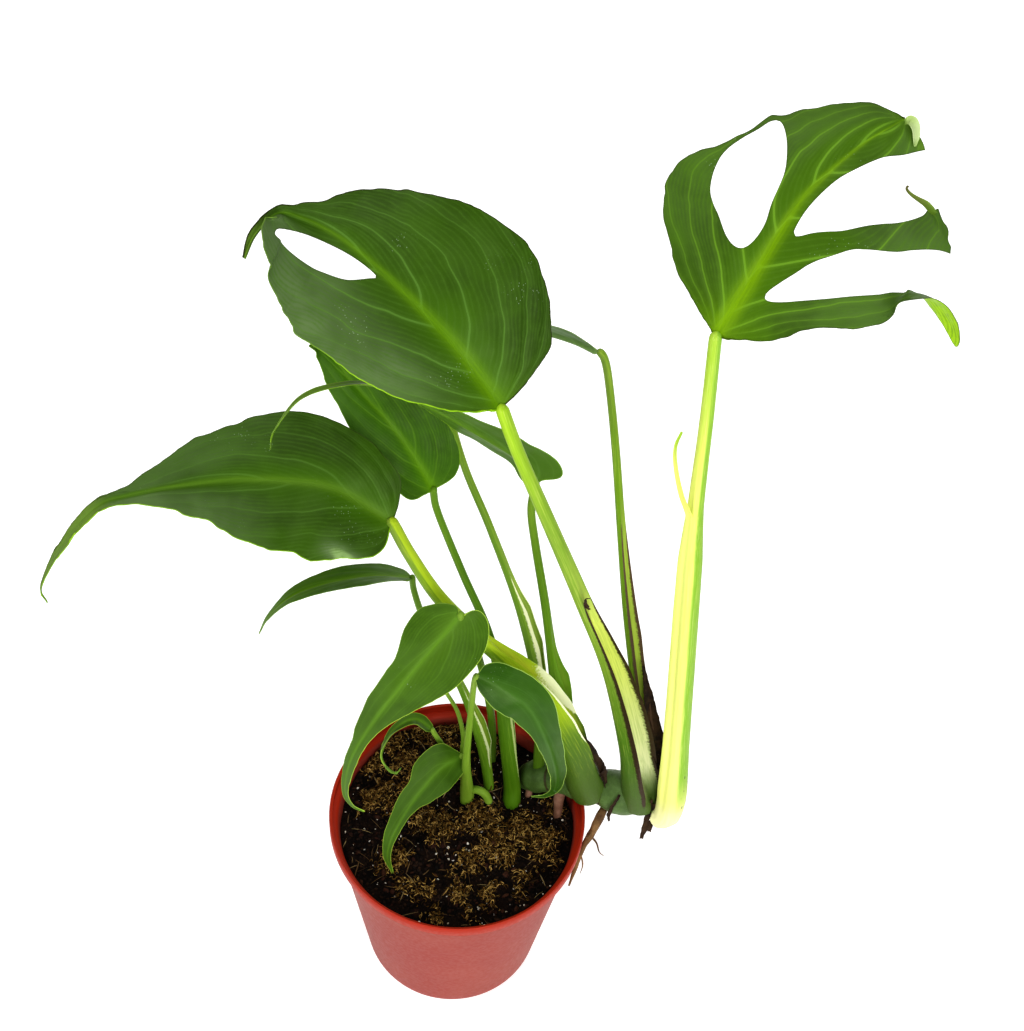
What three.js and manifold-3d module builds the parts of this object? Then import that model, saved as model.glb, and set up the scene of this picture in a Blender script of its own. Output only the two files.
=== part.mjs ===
// Potted split-leaf aroid: a climbing stem with waxy leaves on long sheathed stalks, in a nursery pot.
// Millimetres, +Z up, origin on the ground at the centre of the pot's base, front of the pot towards -Y.
import * as THREE from 'three';
import Module from 'manifold-3d';

const wasm = await Module();
wasm.setup();

// Pot
const potHeight = 145;
const potBaseRadius = 55.5;
const potTopRadius = 72.5;
const potWall = 1.6;
const lipRadius = 76;
const lipDepth = 9;
const potSides = 48;
const drainHoles = 8;
const drainRadius = 4.5;
const drainRing = 42;

// Soil
const soilTop = 131;
const soilGap = 0.3;
const soilSides = 48;
const stemGap = 0.45;

// Leaves
const bladeThickness = 0.7;
const jointGap = 0.4;

const leafGreen = '#3f7a1d';
const deepGreen = '#2f6420';
const stalkGreen = '#6ba32b';
const paleStalk = '#b9d95a';

const plant = new THREE.Group();
plant.name = 'potted_monstera';

// Small vector helpers on plain arrays
const add = (a, b) => a.map((v, i) => v + b[i]);
const sub = (a, b) => a.map((v, i) => v - b[i]);
const mul = (a, k) => a.map((v) => v * k);
const dot = (a, b) => a.reduce((s, v, i) => s + v * b[i], 0);
const cross = (a, b) => [
  a[1] * b[2] - a[2] * b[1],
  a[2] * b[0] - a[0] * b[2],
  a[0] * b[1] - a[1] * b[0],
];
const unit = (a) => mul(a, 1 / Math.hypot(...a));
const clamp = (v, lo, hi) => Math.min(hi, Math.max(lo, v));
const mix = (a, b, k) => a + (b - a) * k;
const smooth = (lo, hi, v) => {
  const k = clamp((v - lo) / (hi - lo), 0, 1);
  return k * k * (3 - 2 * k);
};

// Value of a list of numbers or points, spread evenly over 0..1
function sampleList(list, k) {
  const u = clamp(k, 0, 1) * (list.length - 1);
  const i = Math.min(Math.floor(u), list.length - 2);
  const f = u - i;
  if (Array.isArray(list[0])) {
    return list[i].map((v, j) => mix(v, list[i + 1][j], f));
  }
  return mix(list[i], list[i + 1], f);
}

// Smooth curve through points, cut into even steps by length
function curveThrough(points, steps) {
  const vectors = points.map((p) => new THREE.Vector3(p[0], p[1], p[2] || 0));
  const curve = new THREE.CatmullRomCurve3(vectors, false, 'catmullrom', 0.5);
  curve.arcLengthDivisions = 400;
  const out = curve.getSpacedPoints(steps - 1).map((v) => v.toArray());
  return { points: out, length: curve.getLength() };
}

// A rib is a space curve with a frame: along it, across it, and out of the upper face
class Rib {
  constructor(points, faces) {
    const made = curveThrough(points, 200);
    this.length = made.length;
    this.at = made.points;
    this.along = this.at.map((p, i) => {
      const a = this.at[Math.max(0, i - 1)];
      const b = this.at[Math.min(199, i + 1)];
      return unit(sub(b, a));
    });
    this.out = this.along.map((t, i) => {
      const hint = sampleList(faces, i / 199);
      return unit(sub(hint, mul(t, dot(hint, t))));
    });
    this.across = this.along.map((t, i) => cross(t, this.out[i]));
  }

  frame(y) {
    const k = clamp(y / this.length, 0, 1);
    const along = unit(sampleList(this.along, k));
    const point = add(sampleList(this.at, k), mul(along, y - k * this.length));
    const out = unit(sampleList(this.out, k));
    const across = unit(sampleList(this.across, k));
    return { point, along, out, across };
  }
}

// Flat leaf point (x across, y along) laid on the rib: folded up at the rib, arched down to the edge
function layOnRib(leaf, rib, x, y) {
  const end = leaf.bodyEnd ?? 1e9;
  const narrow = clamp((8 - Math.abs(x)) / 4, 0, 1);
  const past = Math.max(0, y - end);
  const frame = rib.frame(y - past * (1 - narrow));
  const point = add(frame.point, mul(frame.along, past * (1 - narrow)));
  const side = x < 0 ? -1 : 1;
  const k = clamp(y / rib.length, 0, 1);
  const fold = THREE.MathUtils.degToRad(sampleList(side < 0 ? leaf.foldLeft : leaf.foldRight, k));
  const arch = Math.max(1e-5, sampleList(side < 0 ? leaf.archLeft : leaf.archRight, k) / 1000);
  const a = Math.abs(x);
  const turn = fold - arch * a;
  const reach = (Math.sin(fold) - Math.sin(turn)) / arch;
  const lift = (Math.cos(turn) - Math.cos(fold)) / arch;
  const wave = Math.sin(y / leaf.rippleStep + side * 0.8);
  const ripple = leaf.ripple * smooth(0.35, 1, a / leaf.halfWidth) * wave;
  return add(add(point, mul(frame.across, side * reach)), mul(frame.out, lift + ripple));
}

// A finger of a split leaf leaves the blade and follows a rib of its own
function bendFinger(finger, x, y, point) {
  const dx = x - finger.root[0];
  const dy = y - finger.root[1];
  const u = dx * finger.way[0] + dy * finger.way[1];
  const v = dy * finger.way[0] - dx * finger.way[1];
  const share = smooth(finger.from, finger.to, u) * (1 - smooth(finger.edge, finger.edge + 6, v));
  if (share === 0) {
    return point;
  }
  const frame = finger.rib.frame(u);
  const bent = add(frame.point, mul(frame.across, -v));
  return point.map((c, i) => mix(c, bent[i], share));
}

// Distance to a closed outline, negative inside, with the nearest point on it
function outlineDistance(outline, x, y) {
  let best = Infinity;
  let near = [x, y];
  let inside = false;
  outline.forEach((p, i) => {
    const q = outline[(i + 1) % outline.length];
    const ex = q[0] - p[0];
    const ey = q[1] - p[1];
    const k = clamp(((x - p[0]) * ex + (y - p[1]) * ey) / (ex * ex + ey * ey), 0, 1);
    const c = [p[0] + ex * k, p[1] + ey * k];
    const d = Math.hypot(x - c[0], y - c[1]);
    if (d < best) {
      best = d;
      near = c;
    }
    if (p[1] > y !== q[1] > y && x < p[0] + ((y - p[1]) / ey) * ex) {
      inside = !inside;
    }
  });
  return { d: inside ? -best : best, near };
}

// Trims flat triangles to what lies outside the openings; the nearest vertex moves onto each sharp end
function trimFlat(vertices, triangles, outlines, ends, snap) {
  const openings = outlines.map((outline) => {
    const vectors = outline.map((p) => new THREE.Vector3(p[0], p[1], 0));
    const curve = new THREE.CatmullRomCurve3(vectors, true, 'catmullrom', 0.5);
    return curve.getSpacedPoints(90).slice(0, -1).map((v) => [v.x, v.y]);
  });
  const nearest = (x, y) => {
    let found = { d: Infinity, near: [x, y] };
    openings.forEach((outline) => {
      const one = outlineDistance(outline, x, y);
      if (one.d < found.d) {
        found = one;
      }
    });
    return found;
  };
  const points = vertices.map((v) => v.slice());
  const pinned = new Set();
  ends.forEach((end) => {
    const away = points.map((v) => Math.hypot(v[0] - end[0], v[1] - end[1]));
    const n = away.indexOf(Math.min(...away));
    points[n] = end.slice();
    pinned.add(n);
  });
  const side = points.map((v, n) => {
    if (pinned.has(n)) {
      return 0;
    }
    const one = nearest(v[0], v[1]);
    if (Math.abs(one.d) < snap) {
      v[0] = one.near[0];
      v[1] = one.near[1];
      return 0;
    }
    return Math.sign(one.d);
  });
  const cuts = new Map();
  const cutEdge = (i, j) => {
    const key = i < j ? `${i} ${j}` : `${j} ${i}`;
    if (cuts.has(key)) {
      return cuts.get(key);
    }
    const [k, o] = side[i] >= 0 ? [i, j] : [j, i];
    const between = (f) => [0, 1].map((n) => mix(points[k][n], points[o][n], f));
    const start = [0, 0.25, 0.5, 0.75].filter((f) => side[k] > 0 || f > 0)
      .find((f) => nearest(...between(f)).d > 0.2);
    if (side[i] * side[j] > 0 || side[o] >= 0 || start === undefined) {
      cuts.set(key, -1);
      return -1;
    }
    let lo = start;
    let hi = 1;
    for (let n = 0; n < 12; n += 1) {
      const m = (lo + hi) / 2;
      if (nearest(...between(m)).d > 0) {
        lo = m;
      } else {
        hi = m;
      }
    }
    cuts.set(key, points.length);
    points.push(between(lo));
    side.push(0);
    return points.length - 1;
  };
  const kept = [];
  triangles.forEach((t) => {
    const ring = [];
    for (let n = 0; n < 3; n += 1) {
      const i = t[n];
      const j = t[(n + 1) % 3];
      if (side[i] >= 0) {
        ring.push(i);
      }
      const cut = cutEdge(i, j);
      if (cut >= 0) {
        ring.push(cut);
      }
    }
    if (ring.length < 3) {
      return;
    }
    if (ring.every((i) => side[i] === 0)) {
      const c = [0, 1].map((n) => ring.reduce((s, i) => s + points[i][n], 0) / ring.length);
      if (nearest(c[0], c[1]).d < 0) {
        return;
      }
    }
    for (let n = 2; n < ring.length; n += 1) {
      kept.push([ring[0], ring[n - 1], ring[n]]);
    }
  });
  return { points, triangles: kept };
}

// Flat net of a leaf: rows fan out from the rib to even steps along both edges
function flatNet(leaf, length) {
  const left = curveThrough(leaf.left, leaf.rows + 1).points;
  const right = curveThrough(leaf.right, leaf.rows + 1).points;
  const cols = leaf.cols;
  const vertices = [];
  for (let i = 0; i <= leaf.rows; i += 1) {
    const root = length * Math.pow(i / leaf.rows, leaf.fan);
    for (let j = -cols; j <= cols; j += 1) {
      const t = Math.abs(j) / cols;
      const edge = j < 0 ? left[i] : right[i];
      const cx = 0.55 * edge[0];
      const cy = root + 0.25 * (edge[1] - root);
      const x = 2 * t * (1 - t) * cx + t * t * edge[0];
      const y = (1 - t) * (1 - t) * root + 2 * t * (1 - t) * cy + t * t * edge[1];
      vertices.push([x, y]);
    }
  }
  const wide = 2 * cols + 1;
  const triangles = [];
  for (let i = 0; i < leaf.rows; i += 1) {
    for (let j = 0; j < 2 * cols; j += 1) {
      const a = i * wide + j;
      if (j < cols) {
        triangles.push([a, a + 1, a + wide + 1], [a, a + wide + 1, a + wide]);
      } else {
        triangles.push([a, a + 1, a + wide], [a + 1, a + wide + 1, a + wide]);
      }
    }
  }
  return { vertices, triangles };
}

// Closed body from an upper sheet: the same triangles below it, and a wall along every free edge
function thicken(points, triangles, thickness) {
  const used = new Map();
  triangles.flat().forEach((i) => {
    if (!used.has(i)) {
      used.set(i, used.size);
    }
  });
  const upper = [];
  used.forEach((n, i) => {
    upper[n] = points[i];
  });
  const faces = triangles.map((t) => t.map((i) => used.get(i)));
  const normals = upper.map(() => [0, 0, 0]);
  faces.forEach((t) => {
    const n = cross(sub(upper[t[1]], upper[t[0]]), sub(upper[t[2]], upper[t[0]]));
    t.forEach((i) => {
      normals[i] = add(normals[i], n);
    });
  });
  const count = upper.length;
  const lower = upper.map((p, i) => sub(p, mul(unit(normals[i]), thickness)));
  const all = [...faces, ...faces.map((t) => [t[2] + count, t[1] + count, t[0] + count])];
  const edges = new Set(faces.flatMap((t) => t.map((i, n) => `${i} ${t[(n + 1) % 3]}`)));
  edges.forEach((key) => {
    const [i, j] = key.split(' ').map(Number);
    if (!edges.has(`${j} ${i}`)) {
      all.push([j, i, i + count], [j, i + count, j + count]);
    }
  });
  return solidFrom([...upper, ...lower], all);
}

function solidFrom(points, triangles) {
  const mesh = new wasm.Mesh({
    numProp: 3,
    vertProperties: new Float32Array(points.flat()),
    triVerts: new Uint32Array(triangles.flat()),
  });
  mesh.merge();
  return new wasm.Manifold(mesh);
}

function solidFromGeometry(geometry) {
  const at = geometry.attributes.position;
  const seen = new Map();
  const points = [];
  const index = [];
  for (let i = 0; i < at.count; i += 1) {
    const p = [at.getX(i), at.getY(i), at.getZ(i)];
    const key = p.map((v) => Math.round(v * 1000)).join(' ');
    if (!seen.has(key)) {
      seen.set(key, points.length);
      points.push(p);
    }
    index.push(seen.get(key));
  }
  const order = geometry.index ? Array.from(geometry.index.array) : index.map((_, i) => i);
  const triangles = [];
  for (let i = 0; i < order.length; i += 3) {
    const t = [index[order[i]], index[order[i + 1]], index[order[i + 2]]];
    if (t[0] !== t[1] && t[1] !== t[2] && t[2] !== t[0]) {
      triangles.push(t);
    }
  }
  return solidFrom(points, triangles);
}

function place(name, solid, colour, roughness) {
  const mesh = solid.getMesh();
  const geometry = new THREE.BufferGeometry();
  geometry.setAttribute('position', new THREE.BufferAttribute(new Float32Array(mesh.vertProperties), 3));
  geometry.setIndex(Array.from(mesh.triVerts));
  geometry.computeVertexNormals();
  const material = new THREE.MeshStandardMaterial({ color: colour, roughness, metalness: 0 });
  const body = new THREE.Mesh(geometry, material);
  body.name = name;
  plant.add(body);
  return body;
}

// Stalk section: a round back, and a front that opens into a channel with two wings
function stalkRing(frame, radius, open, wing) {
  const back = [-140, -95, -48, 0, 48, 95, 140];
  const front = [155, 180, -155];
  const ring = back.map((deg, n) => {
    const a = THREE.MathUtils.degToRad(deg);
    const out = n === 0 || n === back.length - 1 ? radius + wing * open : radius;
    const lean = n === 0 || n === back.length - 1 ? wing * open * 0.6 : 0;
    return [out * Math.sin(a), -out * Math.cos(a) + lean];
  });
  front.forEach((deg) => {
    const a = THREE.MathUtils.degToRad(deg);
    const closed = [radius * Math.sin(a), -radius * Math.cos(a)];
    const b = THREE.MathUtils.degToRad(deg > 0 ? Math.min(deg, 180) * 0.62 : deg * 0.62);
    const r = radius * 0.55;
    const channel = deg === 180 ? [0, -r] : [r * Math.sin(b), -r * Math.cos(b)];
    ring.push([mix(closed[0], channel[0], open), mix(closed[1], channel[1], open)]);
  });
  return ring.map((p) => add(frame.point, add(mul(frame.across, p[0]), mul(frame.out, p[1]))));
}

// Lofted stalk along a rib, with radius, opening and wing given along its length
function stalk(spec) {
  const rib = new Rib(spec.path, spec.face ?? [[0.1, -1, 0.1], [0.1, -1, 0.1]]);
  const rows = spec.rows ?? 16;
  const points = [];
  const triangles = [];
  const ringSize = 10;
  for (let i = 0; i <= rows; i += 1) {
    const k = i / rows;
    const frame = rib.frame(k * rib.length);
    const open = sampleList(spec.open ?? [0, 0], k);
    const ring = stalkRing(frame, sampleList(spec.radius, k), open, sampleList(spec.wing ?? [0, 0], k));
    points.push(...ring);
  }
  for (let i = 0; i < rows; i += 1) {
    for (let j = 0; j < ringSize; j += 1) {
      const a = i * ringSize + j;
      const b = i * ringSize + ((j + 1) % ringSize);
      triangles.push([a, b + ringSize, b], [a, a + ringSize, b + ringSize]);
    }
  }
  const last = rows * ringSize;
  for (let j = 1; j < ringSize - 1; j += 1) {
    triangles.push([0, j, j + 1], [last, last + j + 1, last + j]);
  }
  return solidFrom(points, triangles);
}

// Room that a stalk needs: its section wider by the gap, with the channel filled, and its wings
function room(spec, gap) {
  const [first, second] = spec.path;
  const [before, last] = spec.path.slice(-2);
  const start = sub(first, mul(unit(sub(second, first)), gap));
  const end = add(last, mul(unit(sub(last, before)), gap));
  const path = [start, ...spec.path.slice(1, -1), end];
  const wide = { ...spec, path, radius: spec.radius.map((r) => r + gap) };
  const full = stalk({ ...wide, open: [0, 0] });
  return spec.open ? full.add(stalk({ ...wide, wing: spec.wing.map((w) => w + gap) })) : full;
}

// Pot: thin moulded wall with a wider lip, closed profile turned about the axis
const potProfile = [
  [0, 0],
  [potBaseRadius, 0],
  [potTopRadius, potHeight - lipDepth],
  [lipRadius, potHeight - lipDepth + 0.5],
  [lipRadius, potHeight - 0.8],
  [lipRadius - 0.8, potHeight],
  [lipRadius - potWall, potHeight],
  [lipRadius - potWall, potHeight - lipDepth + potWall],
  [potTopRadius - potWall, potHeight - lipDepth - 0.5],
  [potBaseRadius - potWall, potWall],
  [0, potWall],
];
const potPoints = potProfile.map((p) => new THREE.Vector2(p[0], p[1]));
const potLathe = new THREE.LatheGeometry(potPoints, potSides);
potLathe.rotateX(Math.PI / 2);
let pot = solidFromGeometry(potLathe);
for (let i = 0; i < drainHoles; i += 1) {
  const a = ((i + 0.5) / drainHoles) * 2 * Math.PI;
  const drain = new THREE.CylinderGeometry(drainRadius, drainRadius, 6, 12);
  drain.rotateX(Math.PI / 2);
  drain.translate(drainRing * Math.cos(a), drainRing * Math.sin(a), 0.5);
  pot = pot.subtract(solidFromGeometry(drain));
}

// Soil: fills the pot to just under the lip, with a lumpy top
const wallRadius = (z) => {
  const k = (z - potWall) / (potHeight - lipDepth - 0.5 - potWall);
  return mix(potBaseRadius, potTopRadius, k) - potWall - soilGap;
};
const soilHeight = (x, y) =>
  soilTop + 1.6 * Math.sin(x / 9 + 0.6) * Math.cos(y / 11) + 1.1 * Math.sin(x / 4.7 - y / 5.3 + 1.2)
  - 0.0007 * (x * x + y * y);
function soilBody() {
  const radii = [0, 0.2, 0.4, 0.6, 0.8, 1];
  const points = [[0, 0, soilHeight(0, 0)]];
  const triangles = [];
  radii.slice(1).forEach((r) => {
    for (let i = 0; i < soilSides; i += 1) {
      const a = (i / soilSides) * 2 * Math.PI;
      const level = r * wallRadius(soilTop - 4);
      const z = soilHeight(level * Math.cos(a), level * Math.sin(a));
      const reach = r < 1 ? level : wallRadius(z);
      points.push([reach * Math.cos(a), reach * Math.sin(a), z]);
    }
  });
  const floorStart = points.length;
  for (let i = 0; i < soilSides; i += 1) {
    const a = (i / soilSides) * 2 * Math.PI;
    const reach = wallRadius(potWall + soilGap);
    points.push([reach * Math.cos(a), reach * Math.sin(a), potWall + soilGap]);
  }
  points.push([0, 0, potWall + soilGap]);
  for (let i = 0; i < soilSides; i += 1) {
    const j = (i + 1) % soilSides;
    triangles.push([0, 1 + i, 1 + j]);
    for (let r = 0; r < radii.length - 1; r += 1) {
      const a = 1 + r * soilSides;
      const b = r === radii.length - 2 ? floorStart : a + soilSides;
      triangles.push([a + i, b + i, b + j], [a + i, b + j, a + j]);
    }
    triangles.push([floorStart + j, floorStart + i, points.length - 1]);
  }
  return solidFrom(points, triangles);
}

// Climbing stem lying over the rim, and the stalks that grow from it or from the soil
const stem = {
  path: [[45, 38, 104], [42, 36, 124], [43, 31, 139], [52, 25, 150], [68, 20, 156.5], [86, 16, 158],
    [104, 12, 155], [114, 9, 153]],
  radius: [5, 5.5, 6.5, 8.5, 9.6, 9, 9, 10, 11.5, 12.3, 10, 6],
  face: [[0, 0.3, 1], [0, 0.3, 1]],
  rows: 16,
};

const stalks = {
  a: {
    path: [[107, 11, 156], [106, 12, 168], [103, 13, 183], [80, 22, 267], [58, 30, 322], [36, 39, 373],
      [19, 45, 413], [10, 49, 437], [9, 50, 440]],
    radius: [7.5, 8, 7.2, 6.2, 5.4, 4.8, 4.3, 3.9, 3.6, 3.4, 3.3],
    open: [0, 0.6, 1, 1, 0.9, 0.7, 0.15, 0, 0, 0, 0],
    wing: [0, 3, 4.5, 4, 3, 1.5, 0, 0, 0, 0, 0],
    face: [[0.75, -0.6, 0.2], [0.75, -0.6, 0.2]],
    rows: 15,
  },
  b: {
    path: [[77, 15, 157], [70, 15, 176], [61, 16, 202], [43, 20, 240], [24, 24, 266], [2, 28, 288],
      [-18, 32, 313], [-33, 37, 339], [-41, 40, 356], [-43, 40, 361]],
    radius: [8.4, 8.6, 8, 7.3, 6.4, 5.4, 4.6, 4, 3.7, 3.4, 3.3],
    open: [0, 0.7, 1, 1, 1, 0.7, 0.1, 0, 0, 0, 0],
    wing: [0, 2, 3.6, 4, 4, 2.5, 0, 0, 0, 0, 0],
    face: [[0.6, 0.1, 0.8], [0.6, 0, 0.8]],
    rows: 15,
  },
  c: {
    path: [[34, 14, 104], [32, 18, 128], [31, 24, 144], [24, 31, 194], [19, 38, 230], [9, 50, 262],
      [-6, 60, 296], [-21, 70, 333], [-24, 72, 347], [-24, 72, 351]],
    radius: [5.4, 5.5, 5.2, 4.8, 4.2, 3.2, 2.5, 2.2, 2.1, 2, 2],
    open: [0, 0, 0.2, 0.5, 0.6, 0.2, 0, 0, 0, 0, 0],
    wing: [0, 0, 1, 2, 2, 1, 0, 0, 0, 0, 0],
    face: [[0.8, -0.5, 0.2], [0.8, -0.5, 0.2]],
    rows: 13,
  },
  d: {
    path: [[58, 24, 152], [58, 27, 168], [58, 28, 185], [51, 38, 224], [41, 56, 275], [32, 74, 309],
      [28, 82, 329], [29, 88, 342], [29, 88, 345]],
    radius: [3.6, 3.8, 3.6, 3.3, 3, 2.7, 2.5, 2.4, 2.3, 2.2, 2.2],
    open: [0, 0.3, 0.6, 0.9, 0.9, 0.3, 0, 0, 0, 0, 0],
    wing: [0, 1, 2.5, 4, 4, 1, 0, 0, 0, 0, 0],
    face: [[0.9, -0.3, 0.2], [0.9, -0.3, 0.2]],
    rows: 13,
  },
  e: {
    path: [[112, 16, 160], [111, 18, 176], [108, 20, 193], [99, 28, 228], [87, 53, 276], [78, 72, 322],
      [69, 90, 373], [62, 101, 408], [58, 104, 424], [55, 104, 429]],
    radius: [3.6, 3.8, 3.6, 3.4, 3.1, 2.8, 2.5, 2.3, 2.2, 2.1, 2.1],
    open: [0, 0.5, 0.9, 1, 1, 0.8, 0.4, 0, 0, 0, 0],
    wing: [0, 1.2, 2, 2, 2, 1.5, 0.8, 0, 0, 0, 0],
    face: [[0.7, -0.7, 0.1], [0.7, -0.7, 0.1]],
    rows: 14,
  },
  f: {
    path: [[119, 5, 151], [123, 3, 156], [124, 4, 168], [123, 5, 185], [118, 19, 253], [113, 36, 321],
      [110, 50, 370], [108, 64, 428], [106, 74, 469], [106, 75, 474]],
    radius: [8, 8.6, 7.6, 7.2, 7, 6.8, 6.4, 4.2, 3.6, 3.3, 3.1],
    open: [0, 0.25, 0.35, 0.35, 0.35, 0.35, 0.3, 0.1, 0, 0, 0],
    wing: [0, 0.5, 0.8, 0.8, 0.8, 0.8, 0.6, 0, 0, 0, 0],
    face: [[-0.7, -0.7, 0.1], [-0.7, -0.7, 0.1]],
    rows: 13,
  },
  g: {
    path: [[20, 18, 104], [18, 24, 128], [14, 33, 150], [6, 38, 184], [-3, 43, 211], [-14, 47, 237],
      [-26, 50, 265], [-32, 52, 288], [-33, 52, 300]],
    radius: [3.2, 3.2, 3.4, 3.3, 3, 2.6, 2.3, 2, 1.9, 1.8, 1.7],
    open: [0, 0, 0.3, 0.8, 0.9, 0.4, 0, 0, 0, 0, 0],
    wing: [0, 0, 0, 2.6, 2.4, 1, 0, 0, 0, 0, 0],
    face: [[0.8, -0.5, 0.3], [0.8, -0.5, 0.3]],
    rows: 12,
  },
  h: {
    path: [[19, 48, 104], [18, 46, 128], [17, 44, 160], [15, 41, 190], [11, 36, 225], [8, 28, 255],
      [4, 19, 287], [-3, 14, 316], [-4, 14, 322]],
    radius: [2.4, 2.4, 2.3, 2.2, 2.1, 2.1, 2],
    rows: 10,
  },
  l: {
    path: [[46, 27, 144], [46, 30, 160], [45, 34, 187], [42, 45, 212], [27, 62, 265], [7, 80, 312],
      [-9, 98, 339], [-20, 115, 363], [-22, 118, 370]],
    radius: [3.6, 3.6, 3.4, 3.1, 2.9, 2.6, 2.4, 2.2, 2.1, 2, 2],
    open: [0, 0, 0.2, 0.8, 1, 0.9, 0.2, 0, 0, 0, 0],
    wing: [0, 0, 1, 2.5, 3, 2.5, 0, 0, 0, 0, 0],
    face: [[0.8, -0.5, 0.2], [0.8, -0.5, 0.2]],
    rows: 13,
  },
};

// Young shoot in the middle of the soil: thin stalks, a pale tendril and a bent bract grown together
const shootStalks = [
  {
    path: [[6, 14, 104], [5, 16, 128], [3, 13, 181], [4, 11, 233], [5, 8, 270], [6, 8, 276]],
    radius: [4.2, 4.4, 4, 2.8, 2.2, 2, 1.8, 1.7, 1.6],
    rows: 13,
  },
  {
    path: [[4, 17, 134], [2, 17, 152], [0, 19, 168], [0, 20, 174]],
    radius: [2.2, 2, 1.8, 1.6],
    rows: 5,
  },
  {
    path: [[4, 17, 132], [1, 22, 148], [-7, 25, 164], [-16, 26, 184], [-18, 26, 190]],
    radius: [1.8, 1.7, 1.6, 1.5],
    rows: 6,
  },
  {
    path: [[5, 16, 136], [9, 15, 145], [15, 14, 143], [18, 13, 136]],
    radius: [1.8, 2.4, 2.6, 2.4],
    rows: 6,
  },
  {
    path: [[4, 17, 136], [2, 21, 150], [0, 24, 168], [0, 25, 188], [-4, 28, 208], [-11, 30, 224],
      [-18, 32, 237], [-22, 30, 240]],
    radius: [1.5, 1.5, 1.4, 1.4, 1.3, 1.2, 1.1, 0.8],
    rows: 11,
  },
];
const hangingRoot = {
  path: [[89, 12, 150], [85, 4, 146], [80.5, -4, 138], [75.5, -11, 129], [72.5, -19, 119], [70, -26, 112]],
  radius: [2.6, 2.6, 2.2, 1.7, 1.3, 0.6],
  rows: 9,
};
const anchorRoots = [
  {
    path: [[43, 26, 142], [42, 24, 134], [41, 20, 118], [40, 17, 104]],
    radius: [2.4, 2.2, 1.8, 1],
    rows: 7,
  },
  {
    path: [[61, 19, 150], [60, 16, 140], [60, 11, 128], [58, 8, 108]],
    radius: [3.4, 3, 2.4, 1.2],
    rows: 7,
  },
];

// Narrow ribbons: the free tip of the tallest sheath, and the dried ends of the split leaf
const sheathTip = {
  rib: [[111, 46, 350], [108, 48, 371], [101, 49, 389], [96, 51, 406], [94, 53, 419], [96, 56, 427]],
  face: [[-0.6, -0.8, 0.1], [-0.6, -0.8, 0.1]],
  width: [3.5, 2.6, 1.8, 1.4, 1.1, 0.5],
};
const leafEnds = [
  {
    rib: [[201, 110, 525], [199, 114, 527], [195, 118, 527], [191, 122, 527], [188, 124, 529],
      [189, 126, 531]],
    face: [[0, -0.5, 0.8], [0, -0.5, 0.8]],
    width: [2.4, 1.6, 1.1, 0.8, 0.5],
  },
  {
    rib: [[177, 130, 558], [179, 131, 563], [182, 128, 566], [184, 125, 561], [184, 123, 556]],
    face: [[-0.5, -0.3, 0.8], [0.9, 0.1, 0.4], [0.9, 0, -0.2]],
    width: [2.4, 2.4, 2, 1.4, 0.6],
  },
];

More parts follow.
